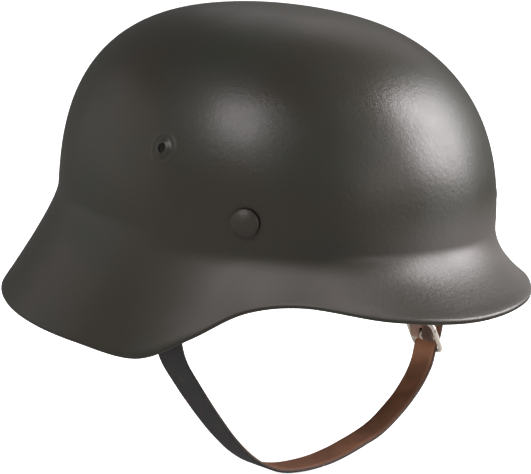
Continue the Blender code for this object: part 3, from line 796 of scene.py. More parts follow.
def field_paint(name, grain_depth, rub_and_sheen, dull, shaded=False):
    """Semi-matte paint: rub sets wear and painted sheen, dull the roughness, shaded adds painted shadow by
    the pins.
    """
    paint = Finish(name)
    where = paint.place()
    zones = paint_zones(paint, where)
    grain = paint.cloud(where, GRAIN_SCALE, 2.0)
    peel = paint.cloud(where, PEEL_SCALE, 2.0)
    patches = paint.blots(where, PATCHES)
    streaks = paint.blots(paint.stretch(where, STREAK_SCALES), STREAKS)
    specks = 1 - paint.between(paint.cells(where, SPECK_SCALE), *SPECK_RADII)
    groups = paint.blots(where, SPECK_GROUPS)
    edges = paint.between(paint.node("ShaderNodeNewGeometry", output="Pointiness"), *EDGE_STEP)
    worn = edges * rub_and_sheen * paint.blots(where, WORN_SPOTS) + streaks * (rub_and_sheen * STREAK_SHARE)
    color = paint.mix(patches, PAINT_COLOR, PAINT_GREENER)
    color = paint.mix(worn, color, PAINT_RUBBED)
    color = paint.mix(specks * groups * SPECK_SHARE, color, SPECK_AND_SHEEN_COLOR)
    # Dust on the flare round the ears, also a painted highlight.
    color = paint.mix(zones.ears * (EAR_DUST_AND_HIGHLIGHT[0] + EAR_DUST_AND_HIGHLIGHT[1] * patches), color, PAINT_DUST_AND_HIGHLIGHT)
    # Dust in the hollow above the visor, also a painted highlight.
    color = paint.mix(HOLLOW_DUST_AND_HIGHLIGHT * zones.hollow, color, PAINT_DUST_AND_HIGHLIGHT)
    # Painted shade on faces that look down.
    color = paint.mix(zones.below * SHADE_BELOW, color, PAINT_IN_SHADE)
    # Painted sheen: the lowest faces are made pale.
    color = paint.mix(zones.lowest * rub_and_sheen, color, SPECK_AND_SHEEN_COLOR)
    # Painted shade over the whole inside.
    color = paint.mix(zones.inside, color, PAINT_IN_SHADE)
    if shaded:
        # Painted shadow beside the pin heads.
        color = paint.mix(under_heads(paint, where), color, PAINT_SHADED)
    relief = paint.bump(peel, PEEL_DEPTH)
    relief = paint.bump(grain, grain_depth, relief)
    return paint.dress(Base_Color=color, Normal=relief,
                       Roughness=(dull + PATCH_DULL * patches + GRAIN_DULL * grain + EDGE_DULL * edges
                                  + EAR_DULL * zones.ears + FLARE_DULL * zones.flare
                                  + HOLLOW_DULL * zones.hollow + INSIDE_DULL * zones.inside))


bowl_paint = field_paint("field_paint_bowl", grain_depth=0.000050, rub_and_sheen=0.6, dull=0.29, shaded=True)
pin_paint = field_paint("field_paint_pins", grain_depth=0.000040, rub_and_sheen=1.0, dull=0.44)
print("paint uses", len(bowl_paint.node_tree.nodes), "nodes")

# %% [markdown]
# ## Cutting the holes
# The vents are pierced and each split pin goes through a hole in the sheet. The bowl is built first,
# with a small fan at the crown inside and out, and then five fine rods are cut from it in one exact
# Boolean. Cutting keeps the rims truly round, which deleting faces of the grid wouldn't.

# %% Sizes of the holes
PIN_SHANK_RADIUS = 0.0022
HOLE_PLAY = 0.0003
CUT_REACH = 0.009
HOLE_SIDES = 48


def cutting_rods():
    """Fine rods for both vents and the three pin holes, as one mesh."""
    places = [(angle, VENT_HEIGHT, VENT_HOLE_RADIUS) for angle in VENT_ANGLES]
    places += [(angle, PIN_HEIGHT, PIN_SHANK_RADIUS + HOLE_PLAY) for _, angle in PINS]
    rods = []
    for angle, height, radius in places:
        points, faces = turned([(0, -CUT_REACH), (radius, -CUT_REACH), (radius, CUT_REACH), (0, CUT_REACH)],
                               HOLE_SIDES)
        frame_here = wall_frame(angle, height)
        rods.append(([frame_here @ Vector(point) for point in points], faces))
    return joined("hole_rods", rods, bowl_paint)


def cut(piece, rods):
    """Cut rods from a piece for good."""
    step = piece.modifiers.new("holes", "BOOLEAN")
    step.operation = "DIFFERENCE"
    step.solver = "EXACT"
    step.object = rods
    bpy.context.view_layer.update()
    result = bpy.data.meshes.new_from_object(piece.evaluated_get(bpy.context.evaluated_depsgraph_get()))
    piece.modifiers.clear()
    piece.data = result


# %% Build the bowl
def build_bowl():
    """The bowl as one closed sheet."""
    rows, count = bowl_rows.shape[:2]
    points = bowl_rows.reshape(-1, 3).tolist()
    faces = grid_faces(rows, count)
    crown = (0.0, CROWN_SETBACK, DOME_HEIGHT)
    outer_crown, inner_crown = len(points), len(points) + 1
    points += [crown, (0.0, CROWN_SETBACK, DOME_HEIGHT - WALL)]
    for column in range(count):
        turn = (column + 1) % count
        faces.append([outer_crown, turn, column])
        faces.append([inner_crown, (rows - 1) * count + column, (rows - 1) * count + turn])
    return make_mesh("bowl", points, faces, bowl_paint, sharp=50.0)


bowl = build_bowl()
rods = cutting_rods()
cut(bowl, rods)
settle(bowl, "field_paint", "shell")

# %% [markdown]
# ## Split pins
# Three pins with shallow domed heads hold the band; their shanks pass through wall and band, and their
# two legs are bent flat inside. The head is turned like a coin on a lathe, with a softened rim, and the
# legs are two flat strips with a slit between them.

# %% Sizes of the pins
PIN_HEAD_EDGE = 0.0006
PIN_HEAD_HEIGHT = 0.0029
PIN_HEAD_FULLNESS = 0.8
PIN_LEG_LENGTH = 0.0065
PIN_LEG_THICKNESS = 0.0012
PIN_LEG_HALF_WIDTH = 0.0020
PIN_LEG_GAP = 0.0005
PIN_SLIT = 0.0003
GAP = 0.0003
BAND_CLEARANCE = 0.0065
BAND_THICKNESS = 0.0010
HEAD_ROUND = 0.00018
LEG_TOP = -(WALL + BAND_CLEARANCE + BAND_THICKNESS + PIN_LEG_GAP)
print("pins reach", round(1000 * (PIN_LEG_THICKNESS - LEG_TOP), 1), "mm in from the bowl's outside")

# %% Head and shank
HEAD_RINGS = 16
HEAD_RING_SPREAD = 0.6


def pin_profile():
    """Profile of the head and shank, from the inside end to the top of the head."""
    end = LEG_TOP - PIN_LEG_THICKNESS / 2
    rim = GAP + PIN_HEAD_EDGE
    profile = [(0, end), (PIN_SHANK_RADIUS, end), (PIN_SHANK_RADIUS, GAP),
               (PIN_HEAD_RADIUS - HEAD_ROUND, GAP), (PIN_HEAD_RADIUS, GAP + HEAD_ROUND),
               (PIN_HEAD_RADIUS, rim - HEAD_ROUND)]
    for share in np.linspace(1.0, 0.05, HEAD_RINGS) ** HEAD_RING_SPREAD:
        lift = (PIN_HEAD_HEIGHT - PIN_HEAD_EDGE) * max(1 - share ** 2, 0.0) ** PIN_HEAD_FULLNESS
        profile.append((PIN_HEAD_RADIUS * share, rim + lift))
    return profile + [(0, GAP + PIN_HEAD_HEIGHT)]


# %% Legs
LEG_TIP_STEPS = 9


def leg(direction):
    """One flat leg with rounded end and softened edges."""
    outline = [(-PIN_LEG_HALF_WIDTH, PIN_SLIT), (PIN_LEG_HALF_WIDTH, PIN_SLIT)]
    for turn in np.linspace(0, math.pi, LEG_TIP_STEPS):
        outline.append((PIN_LEG_HALF_WIDTH * math.cos(turn),
                        PIN_LEG_LENGTH - PIN_LEG_HALF_WIDTH + PIN_LEG_HALF_WIDTH * math.sin(turn)))
    soft = PIN_LEG_THICKNESS / 5
    points = []
    for inset, height in ((soft, LEG_TOP), (0, LEG_TOP - soft), (0, LEG_TOP - PIN_LEG_THICKNESS + soft),
                          (soft, LEG_TOP - PIN_LEG_THICKNESS)):
        shrink = 1 - inset / PIN_LEG_HALF_WIDTH
        points += [(x * shrink, direction * (y + (0 if y > PIN_SLIT else inset)), height) for x, y in outline]
    count = len(outline)
    faces = grid_faces(4, count)
    faces += [list(range(count)), list(range(3 * count, 4 * count))]
    return points, faces


# %% Build the pins
PIN_SIDES = 72

for name, angle in PINS:
    pin = joined(f"{name}_fine", [turned(pin_profile(), PIN_SIDES), leg(1), leg(-1)], pin_paint)
    pin.data.transform(wall_frame(angle, PIN_HEIGHT))
    settle(pin, "field_paint", name)

# %% [markdown]
# ## Liner band and strap bales
# The band is a plain ring of strip metal just inside the bowl, and a wire loop hangs from it on each
# side for the strap. It hardly shows, so one ring of even strip with softened edges is enough, and the
# loops are wires swept along a path with round corners.

# %% Dull strip metal
BAND_COLOR = (0.36, 0.36, 0.34)
BAND_STAIN = (0.17, 0.15, 0.12)
BAND_STAINS = Blots(45.0, 4.0, 0.48, 0.68)
DRAWN_SCALES = (60.0, 60.0, 2400.0)
DRAWN_DEPTH = 0.00002


def strip_metal():
    """Dull grey metal with fine drawn lines and a few darker stains."""
    metal = Finish("liner_metal")
    where = metal.place()
    drawn = metal.cloud(metal.stretch(where, DRAWN_SCALES), 1.0, 3.0)
    stain = metal.blots(where, BAND_STAINS)
    color = metal.mix(stain * 0.6, BAND_COLOR, BAND_STAIN)
    return metal.dress(Base_Color=color, Metallic=1.0, Roughness=0.38 + 0.18 * stain + 0.08 * drawn,
                       Normal=metal.bump(drawn, DRAWN_DEPTH))


liner_metal = strip_metal()


# %% Band ring
BAND_LOW = 0.005
BAND_HIGH = 0.025
BAND_COLUMNS = 180
BAND_ROWS = 7
BAND_EDGE = 0.00025


def band_ring():
    """Ring of strip that follows the bowl's inside."""
    outer = WALL + BAND_CLEARANCE
    inner = outer + BAND_THICKNESS
    section = [(BAND_LOW + BAND_EDGE, outer)]
    section += [(height, outer) for height in np.linspace(BAND_LOW, BAND_HIGH, BAND_ROWS)[1:-1]]
    section += [(BAND_HIGH - BAND_EDGE, outer), (BAND_HIGH, outer + BAND_EDGE)]
    section += [(BAND_HIGH, inner - BAND_EDGE), (BAND_HIGH - BAND_EDGE, inner)]
    section += [(height, inner) for height in np.linspace(BAND_HIGH, BAND_LOW, BAND_ROWS)[1:-1]]
    section += [(BAND_LOW + BAND_EDGE, inner), (BAND_LOW, inner - BAND_EDGE), (BAND_LOW, outer + BAND_EDGE)]
    angles = np.arange(BAND_COLUMNS) * 360.0 / BAND_COLUMNS
    rings = np.stack([under_skin(angles, run_at(height), depth) for height, depth in section], 1)
    return rings.reshape(-1, 3), grid_faces(BAND_COLUMNS, len(section), True)


# %% Wires along a path
def path_length(path):
    """Length of a path in metres."""
    return sum((after - before).length for before, after in zip(path, path[1:]))


def heading(path, index, closed):
    """Direction of a path at one of its points, from its neighbours."""
    count = len(path)
    before = path[(index - 1) % count] if closed or index > 0 else path[index]
    after = path[(index + 1) % count] if closed or index < count - 1 else path[index]
    return (after - before).normalized()


def wire(path, radii, sides, closed, flat_normal):
    """Points and faces of a round wire along a path that lies in one plane."""
    count = len(path)
    points = []
    for index, place in enumerate(path):
        out = heading(path, index, closed).cross(flat_normal).normalized()
        for side in range(sides):
            turn = 2 * math.pi * side / sides
            points.append(place + radii[index] * (math.cos(turn) * out + math.sin(turn) * flat_normal))
    faces = grid_faces(count, sides, closed)
    if not closed:
        faces += [list(range(sides)), list(range((count - 1) * sides, count * sides))]
    return points, faces


def arc(centre, radius, first, second, start, stop, steps):
    """Points of an arc, its angle in degrees measured from the first direction to the second."""
    turns = [math.radians(start + (stop - start) * step / steps) for step in range(steps + 1)]
    return [centre + radius * (math.cos(turn) * first + math.sin(turn) * second) for turn in turns]


# %% Where the bales hang
BALE_FORWARD = 0.020
BALE_WIRE_RADIUS = 0.0013
BALE_DROP = 0.024
BALE_CORNER = 0.003
STRAP_WIDTH = 0.015
SIDE_PLAY = 0.0008
UP = Vector((0.0, 0.0, 1.0))
IN = Vector((1.0, 0.0, 0.0))


def bale_angle():
    """Angle from the front at which the bowl's side lies above the strap."""
    power = PLAN_SQUARENESS
    across = HALF_WIDTH * (1 - (BALE_FORWARD / FRONT_LENGTH) ** power) ** (1 / power)
    return math.degrees(math.atan2(across, BALE_FORWARD))


def bale_centre(side):
    """Middle of a bale's lower bar; side is -1 on the wearer's right and 1 on the left."""
    top = under_skin(bale_angle(), run_at(BAND_LOW), WALL + BAND_CLEARANCE + BAND_THICKNESS / 2)
    return Vector((side * abs(top[0]), top[1], BAND_LOW - BALE_DROP))


def bale_turn():
    """Heading of the bale's bar in degrees, as the band runs there."""
    _, outward = plan_point(np.asarray(bale_angle()))
    return math.degrees(math.atan2(abs(outward[1]), abs(outward[0])))


def width_direction(turn):
    """Direction across the strap from its front edge to its rear edge."""
    return Vector((math.sin(math.radians(turn)), math.cos(math.radians(turn)), 0.0))


# %% Bales, and the whole band
BALE_ROWS = 6
BALE_CORNER_STEPS = 8
BALE_SIDES = 20


def bale(side):
    """Wire loop that hangs from the band and carries the strap."""
    bar = bale_centre(side)
    across = width_direction(side * bale_turn())
    half = STRAP_WIDTH / 2 + SIDE_PLAY + BALE_WIRE_RADIUS
    top = BALE_DROP + (BAND_HIGH - BAND_LOW) / 2
    heights = np.linspace(top, 2 * BALE_CORNER, BALE_ROWS).tolist()
    path = [bar - half * across + height * UP for height in heights]
    for direction in (-1, 1):
        middle = bar + direction * (half - BALE_CORNER) * across + BALE_CORNER * UP
        start, stop = (0, 90) if direction < 0 else (90, 0)
        path += arc(middle, BALE_CORNER, direction * across, -UP, start, stop, BALE_CORNER_STEPS)
    path += [bar + half * across + height * UP for height in heights[::-1]]
    return wire(path, [BALE_WIRE_RADIUS] * len(path), BALE_SIDES, False, across.cross(UP).normalized())


band = joined("band_with_bales", [band_ring(), bale(-1), bale(1)], liner_metal)
cut(band, rods)
bpy.data.objects.remove(rods, do_unlink=True)
settle(band, "bare_steel", "liner_band")

# %% [markdown]
# ## Leather
# The strap is vegetable-tanned leather, fifteen millimetres wide and two thick. Its grain side is dyed
# black and polished by wear, the flesh side is bare brown with a paler line pressed along its front
# edge, and the cut edges are burnished dark. The short strap has lost its dye: it is a dull brown, with
# painted shade darkening it towards the front. Each point of a strap carries how far along it lies, how
# far across and which side it is on, and the finish reads those three numbers. That way the black ends
# softly at the edge, as dye does, and follows every bend.

# %% Leather colours and patterns
LEATHER_BLACK = (0.021, 0.0195, 0.020)
LEATHER_FADED = (0.230, 0.130, 0.090)
LEATHER_BROWN = (0.290, 0.120, 0.058)
LEATHER_DARK = (0.165, 0.066, 0.032)
LEATHER_EDGE_AND_SHADE = (0.050, 0.021, 0.012)
LEATHER_LINE = (0.340, 0.170, 0.100)
PORE_SCALE = 1500.0
PORE_DEPTH = 0.00006
FIBRE_STRETCH = (0.35, 1.6, 1.0)
FIBRE_SCALE = 900.0
CREASE_SCALES = (260.0, 22.0, 1.0)
CREASE_DEPTH = 0.00016
BLOTCHES = Blots(70.0, 4.0, 0.38, 0.64)
RUBBED_SPOTS = Blots(220.0, 5.0, 0.56, 0.72, 0.7)
print("pores of", round(1000 / PORE_SCALE, 2), "mm")

# %% Leather finish
LINE_OUTER = (0.72, 0.84)
LINE_INNER = (0.48, 0.62)
CUT_EDGE = (0.86, 0.96)
DYE_END = (0.34, 0.50)
DYE_WANDER = 0.12
PAINTED_SHADE_FROM = (-0.15, 0.35)


def strap_leather(name, grain_color, wear, painted_shade=0.0):
    """Two-sided leather: dyed grain side, brown flesh side and darker cut edges."""
    hide = Finish(name)
    place = hide.node("ShaderNodeAttribute", {"attribute_name": "strap_place"}, output="Vector")
    parts = hide.node("ShaderNodeSeparateXYZ", inputs={0: place}).socket.node
    across, side = Value(hide, parts.outputs[1]), Value(hide, parts.outputs[2])
    where = hide.place()
    pores = hide.cells(where, PORE_SCALE, "DISTANCE_TO_EDGE")
    fibres = hide.cloud(hide.stretch(place, FIBRE_STRETCH), FIBRE_SCALE, 5.0, 0.65)
    blotches = hide.blots(where, BLOTCHES)
    creases = hide.cloud(hide.stretch(place, CREASE_SCALES), 1.0, 3.0, 0.6)
    rubbed = hide.blots(where, RUBBED_SPOTS)
    off_middle = across * across
    brown = hide.mix(blotches * 0.6 + fibres * 0.3, LEATHER_BROWN, LEATHER_DARK)
    grain = hide.mix(rubbed * wear, grain_color, LEATHER_BROWN)
    # Painted shade: the grain side darkens towards the front.
    grain = hide.mix(hide.between(0 - across, *PAINTED_SHADE_FROM) * painted_shade, grain, LEATHER_EDGE_AND_SHADE)
    pressed = hide.between(off_middle, *LINE_INNER) * (1 - hide.between(off_middle, *LINE_OUTER))
    cut_edge = hide.between(off_middle, *CUT_EDGE)
    dyed = hide.between(side + DYE_WANDER * (fibres - 0.5), *DYE_END)
    color = hide.mix(dyed, brown, grain)
    color = hide.mix(pressed * hide.between(0 - across, 0.0, 0.2) * (1 - dyed) * 0.6, color, LEATHER_LINE)
    color = hide.mix(cut_edge * (1 - dyed), color, LEATHER_EDGE_AND_SHADE)
    relief = hide.bump(hide.between(pores, 0.0, 0.25) * dyed + fibres * (1 - dyed), PORE_DEPTH)
    relief = hide.bump(creases, CREASE_DEPTH, relief)
    return hide.dress(Base_Color=color, Normal=relief,
                      Roughness=0.40 + 0.14 * fibres + 0.24 * (1 - dyed) + 0.10 * rubbed)


strap_hide = strap_leather("strap_leather_long", LEATHER_BLACK, wear=0.30)
short_hide = strap_leather("strap_leather_short", LEATHER_FADED, wear=0.40, painted_shade=0.85)
print("leather uses", len(strap_hide.node_tree.nodes), "nodes")

# %% [markdown]
# ## A strap as a swept band
# A strap is a flat section swept along a path, with a heading for its width at each place. The section
# has several columns across its faces, so that creases and stitches can press into it, and rounded
# edges like burnished leather. Small soft waves along the faces keep it from looking machined.

# %% Section of a strap
STRAP_EDGE_ROUND = 0.00065
FACE_COLUMNS = 10
EDGE_COLUMNS = 6


def strap_section(half_wide, half_thick):
    """Closed section as (across, deep, side); side is 1 on the grain side and 0 on the flesh side."""
    round_off = min(STRAP_EDGE_ROUND, half_thick * 0.9, half_wide * 0.4)
    section = []
    for deep_sign, start in ((1, 0.0), (-1, 180.0)):
        for column in range(FACE_COLUMNS + 1):
            share = 1 - 2 * column / FACE_COLUMNS
            section.append((deep_sign * share * (half_wide - round_off), deep_sign * half_thick,
                            0.0 if deep_sign > 0 else 1.0))
        for step in range(1, EDGE_COLUMNS):
            turn = math.pi * step / EDGE_COLUMNS
            squash = max(half_thick - round_off, 0.0) * math.cos(turn)
            section.append((-deep_sign * (half_wide - round_off + round_off * math.sin(turn)),
                            deep_sign * (round_off * math.cos(turn) + squash),
                            step / EDGE_COLUMNS if deep_sign > 0 else 1 - step / EDGE_COLUMNS))
    return section


print(len(strap_section(STRAP_WIDTH / 2, STRAP_EDGE_ROUND)), "points round a strap")


# %% Smooth curves and strap directions
def smooth_curve(stations, steps):
    """Points on a smooth curve through the stations, a fixed number of steps between each two."""
    curve = []
    for index in range(len(stations) - 1):
        p1, p2 = stations[index], stations[index + 1]
        p0 = stations[index - 1] if index > 0 else p1 * 2 - p2
        p3 = stations[index + 2] if index + 2 < len(stations) else p2 * 2 - p1
        for step in range(steps):
            t = step / steps
            curve.append(0.5 * (2 * p1 + (p2 - p0) * t + (2 * p0 - 5 * p1 + 4 * p2 - p3) * t ** 2
                                + (3 * p1 - p0 - 3 * p2 + p3) * t ** 3))
    curve.append(stations[-1].copy())
    return curve


def strap_axes(path, index, turn, closed):
    """Directions along, across and into the flesh side of a strap at one place."""
    along = heading(path, index, closed)
    across = width_direction(turn)
    across = (across - along * across.dot(along)).normalized()
    return along, across, along.cross(across)


# %% Sweeping a strap
WAVE_DEPTH = 0.00012
WAVE_SCALE = 90.0


def sweep_strap(name, path, turns, widths, thickness, closed, finish):
    """A strap along a path, its points, and the place on the hide of each point."""
    points, places = [], []
    travelled = 0.0
    for index, place in enumerate(path):
        travelled += (place - path[index - 1]).length if index else 0.0
        _, across, deep_direction = strap_axes(path, index, turns[index], closed)
        section = strap_section(widths[index] * STRAP_WIDTH / 2, thickness / 2)
        for wide, deep, side in section:
            point = place + wide * across + deep * deep_direction
            wave = noise.noise(point * WAVE_SCALE) * WAVE_DEPTH
            points.append(point + wave * deep_direction + 0.5 * wave * across)
            places.append((travelled, wide / (STRAP_WIDTH / 2), side))
    sides = len(section)
    faces = grid_faces(len(path), sides, closed)
    if not closed:
        faces += [list(range(sides)), list(range((len(path) - 1) * sides, len(path) * sides))]
    return make_mesh(name, points, faces, finish, sharp=60.0), points, places


# %% Marking a strap with its place on the hide
def mark_places(strap, points, places):
    """Give every point of a cut strap the place on the hide of the nearest swept point."""
    tree = KDTree(len(points))
    for index, point in enumerate(points):
        tree.insert(point, index)
    tree.balance()
    marks = [places[tree.find(vertex.co)[1]] for vertex in strap.data.vertices]
    if "strap_place" in strap.data.attributes:
        strap.data.attributes.remove(strap.data.attributes["strap_place"])
    layer = strap.data.attributes.new("strap_place", "FLOAT_VECTOR", "POINT")
    layer.data.foreach_set("vector", np.array(marks, dtype=np.float32).ravel())


# %% [markdown]
# ## Route of the long strap
# The long strap is folded round the right bale, with its end sewn down behind it, hangs under the chin
# and comes up through the buckle to a loose, tapered end. Its route repeats the one of the CAD model,
# as shares of the place of the bale and of the strap's lowest point, which keeps both models in step.

# %% Hanging table
STRAP_THICKNESS = 0.0020
SHORT_STRAP_THICKNESS = 0.0016
STRAP_SLACK = 0.0002
STRAP_LOW_POINT = 0.1272
SEWN_TAIL = 0.028
FREE_END = 0.030
THREAD_LEAN = 22.0
SHORT_STRAP_LENGTH = 0.0502
SHORT_STRAP_LEAN = 4.6
BUCKLE_TILT = 30.0
BUCKLE_HALF_LENGTH = 0.0090
BUCKLE_WIRE_RADIUS = 0.0012
BUCKLE_BAR_RADIUS = 0.0010


class StrapStation(NamedTuple):
    """A place on the strap: shares of the bale's place and of the low point, and a heading in degrees."""

    across: float
    down: float
    turn: float


HANGING = (
    StrapStation(-1.020, 0.280, -14.0),
    StrapStation(-1.022, 0.375, -17.0),
    StrapStation(-0.975, 0.475, -18.0),
    StrapStation(-0.872, 0.575, -17.0),
    StrapStation(-0.705, 0.715, -13.0),
    StrapStation(-0.535, 0.840, -8.0),
    StrapStation(-0.370, 0.930, -4.0),
    StrapStation(-0.190, 0.985, 0.0),
    StrapStation(0.000, 1.000, 2.0),
    StrapStation(0.210, 0.990, 4.0),
    StrapStation(0.415, 0.955, 6.0),
    StrapStation(0.610, 0.905, 7.0),
    StrapStation(0.775, 0.825, 7.0),
    StrapStation(0.888, 0.745, 5.0),
    StrapStation(0.955, 0.665, 2.0),
)


class FreeEndStation(NamedTuple):
    """A place on the free end above the buckle, as shares of the free end's length."""

    out: float
    up: float
    width: float


FREE_END_SHAPE = (
    FreeEndStation(0.05, 0.30, 1.00),
    FreeEndStation(0.07, 0.62, 1.00),
    FreeEndStation(0.05, 0.86, 0.90),
    FreeEndStation(0.03, 1.00, 0.45),
)


# %% Buckle's place
def hinge_point():
    """Middle of the buckle's middle bar, which hangs from the left bale on the short strap."""
    bar = bale_centre(1)
    lean = math.radians(SHORT_STRAP_LEAN)
    return Vector((bar.x - SHORT_STRAP_LENGTH * math.sin(lean), -BALE_FORWARD,
                   bar.z - SHORT_STRAP_LENGTH * math.cos(lean)))


def frame_down():
    """Direction down the tilted buckle frame."""
    tilt = math.radians(BUCKLE_TILT)
    return Vector((math.sin(tilt), 0.0, -math.cos(tilt)))


print("buckle hinge at", rounded(hinge_point()))

# %% Long strap's path
PATH_STEPS = 14
LOOP_STEPS = 20


def long_strap_path():
    """Centre line, headings and widths, from the sewn tail round the right bale to the free end."""
    bar = bale_centre(-1)
    wrap = BALE_WIRE_RADIUS + GAP + STRAP_THICKNESS / 2
    lean = math.radians(THREAD_LEAN)
    beside = Vector((math.cos(lean), 0.0, -math.sin(lean)))
    hinge = hinge_point()
    clear = GAP + STRAP_SLACK + STRAP_THICKNESS / 2
    under_bar = hinge + BUCKLE_HALF_LENGTH * frame_down() - (BUCKLE_WIRE_RADIUS + clear) * beside
    over_hinge = hinge + (BUCKLE_BAR_RADIUS + GAP + SHORT_STRAP_THICKNESS + clear) * beside
    rows = [(bar - wrap * IN, -bale_turn(), 1.0)]
    for station in HANGING:
        rows.append((Vector((station.across * abs(bar.x), -BALE_FORWARD, -station.down * STRAP_LOW_POINT)),
                     station.turn, 1.0))
    rows += [(under_bar, 0.0, 1.0), (over_hinge, 0.0, 1.0)]
    for station in FREE_END_SHAPE:
        rows.append((over_hinge + FREE_END * Vector((station.out, 0.0, station.up)), 0.0, station.width))
    run = smooth_curve([row[0] for row in rows], PATH_STEPS)
    turn_and_width = smooth_curve([Vector((row[1], row[2], 0)) for row in rows], PATH_STEPS)
    run_turns = [value.x for value in turn_and_width]
    run_widths = [min(value.y, 1.0) for value in turn_and_width]
    tail, tail_turns = sewn_tail(run, run_turns, wrap)
    over = arc(bar, wrap, IN, UP, 0, 180, LOOP_STEPS)[:-1]
    return (tail + over + run, tail_turns + [-bale_turn()] * len(over) + run_turns,
            [1.0] * (len(tail) + len(over)) + run_widths)


def sewn_tail(run, run_turns, wrap):
    """Strap end folded back beside the main run, close behind it once clear of the bar."""
    close = STRAP_THICKNESS + GAP + STRAP_SLACK
    tail, turns = [], []
    travelled = 0.0
    for index in range(1, len(run)):
        travelled += (run[index] - run[index - 1]).length
        if travelled > SEWN_TAIL:
            break
        easing = ease(travelled, 0.0, SEWN_TAIL / 2)
        tail.append(run[index] + IN * (2 * wrap + (close - 2 * wrap) * float(easing)))
        turns.append(run_turns[index])
    return tail[::-1], turns[::-1]


# %% Build the long strap
path, turns, widths = long_strap_path()
long_strap, long_points, long_places = sweep_strap("long_strap", path, turns, widths, STRAP_THICKNESS, False,
                                                  strap_hide)
print("long strap is", round(path_length(path), 3), "m long")

# %% [markdown]
# ## Prong and its hole
# The prong is a bent piece of wire: an open eye round the middle bar and a straight tongue that rests on
# the frame's lower bar. It passes through a punched hole of the strap, which is cut here as it was on
# the real strap.

# %% Prong line and punched holes
PRONG_RADIUS = 0.0008
PRONG_OVERHANG = 0.0012
PRONG_HOLE_START = 0.12
PRONG_HOLE_END = 0.92
PUNCH_RADIUS = 0.0011
PUNCH_SIDES = 32


def prong_line():
    """Start and end of the prong's straight part, and the direction out of the buckle's plane."""
    down_frame = frame_down()
    out_frame = Vector((-down_frame.z, 0.0, down_frame.x))
    hinge = hinge_point()
    start = hinge + (BUCKLE_BAR_RADIUS + GAP + PRONG_RADIUS) * out_frame
    end = (hinge + BUCKLE_HALF_LENGTH * down_frame + PRONG_OVERHANG * down_frame
           + (BUCKLE_WIRE_RADIUS + GAP + PRONG_RADIUS) * out_frame)
    return start, end, out_frame


def punch_rod():
    """Rod along the prong that cuts the hole in use."""
    start, end, _ = prong_line()
    along = end - start
    low, high = PRONG_HOLE_START * along.length, PRONG_HOLE_END * along.length
    points, faces = turned([(0, low), (PUNCH_RADIUS, low), (PUNCH_RADIUS, high), (0, high)], PUNCH_SIDES)
    place = Matrix.Translation(start) @ along.to_track_quat("Z", "Y").to_matrix().to_4x4()
    return [place @ Vector(point) for point in points], faces


punch = joined("punch", [punch_rod()], strap_hide)
cut(long_strap, punch)
bpy.data.objects.remove(punch, do_unlink=True)
mark_places(long_strap, long_points, long_places)
settle(long_strap, "strap_leather", "chin_strap")

# %% [markdown]
# ## Short strap
# The short strap is folded round the left bale and round the buckle's middle bar, and its two layers
# are sewn together between them. It is one closed loop of leather, wide at both bars and pinched
# together in the middle, with a slot at the bottom where the prong's eye sits.

# %% Short strap's path
SHORT_STRAP_BOW = 0.0022
SHORT_STRAP_FADE = 0.22
SHORT_STRAP_ROWS = np.linspace(0.03, 0.97, 40).tolist()


def short_strap_path():
    """Centre line and headings of the folded loop, from the outer layer's foot round to its start."""
    top, bottom = bale_centre(1), hinge_point()
    half = SHORT_STRAP_THICKNESS / 2
    top_radius = BALE_WIRE_RADIUS + GAP + half
    bottom_radius = BUCKLE_BAR_RADIUS + GAP + half
    waist = half + GAP / 2
    upward = (top - bottom).normalized()
    outward = upward.cross(Vector((0.0, -1.0, 0.0))).normalized()
    length = (top - bottom).length
    outer, inner = [], []
    for share in SHORT_STRAP_ROWS:
        middle = bottom + upward * length * share - outward * SHORT_STRAP_BOW * math.sin(math.pi * share)
        spread = waist
        for distance, radius in ((share, bottom_radius), (1 - share, top_radius)):
            if distance < SHORT_STRAP_FADE:
                easing = float(ease(distance, 0.0, SHORT_STRAP_FADE))
                spread = max(spread, radius + (waist - radius) * easing)
        outer.append(middle + outward * spread)
        inner.append(middle - outward * spread)
    loop = outer + arc(top, top_radius, outward, upward, 0, 180, LOOP_STEPS)
    loop += inner[::-1] + arc(bottom, bottom_radius, -outward, -upward, 0, 180, LOOP_STEPS)
    headings = [bale_turn() * min(max((place - bottom).dot(upward) / length, 0.0), 1.0) for place in loop]
    return loop, headings


# %% Build the short strap
SLOT_HALF = PRONG_RADIUS + 2 * GAP


def prong_slot():
    """Block that cuts the slot for the prong's eye."""
    depth = BUCKLE_BAR_RADIUS + GAP + 1.5 * SHORT_STRAP_THICKNESS
    bottom = hinge_point()
    corners = [bottom + Vector((x * depth, y * SLOT_HALF, z * depth)) for z in (-1, 1)
               for x, y in ((-1, -1), (1, -1), (1, 1), (-1, 1))]
    faces = grid_faces(2, 4)
    return corners, faces + [[0, 1, 2, 3], [4, 5, 6, 7]]


loop, headings = short_strap_path()
short_strap, short_points, short_places = sweep_strap("short_strap", loop, headings, [1.0] * len(loop),
                                                      SHORT_STRAP_THICKNESS, True, short_hide)
slot_block = joined("slot_block", [prong_slot()], short_hide)
cut(short_strap, slot_block)
bpy.data.objects.remove(slot_block, do_unlink=True)
mark_places(short_strap, short_points, short_places)
settle(short_strap, "strap_leather", "buckle_strap")

# %% [markdown]
# ## Stitches
# Waxed pale thread sews the folds down. A stitch is a tiny pillow of thread that dips into the leather at
# both ends. One pillow is made from rings and copied along each seam into a single mesh, which is lighter
# than hundreds of objects and shows real thickness, where a painted line would not.

# %% Thread finish
THREAD_COLOR = (0.52, 0.47, 0.38)
THREAD_SOIL = (0.22, 0.17, 0.12)
THREAD_SPOTS = Blots(260.0, 3.0, 0.45, 0.70)
TWIST_SCALES = (1800.0, 1800.0, 700.0)
TWIST_DEPTH = 0.00005


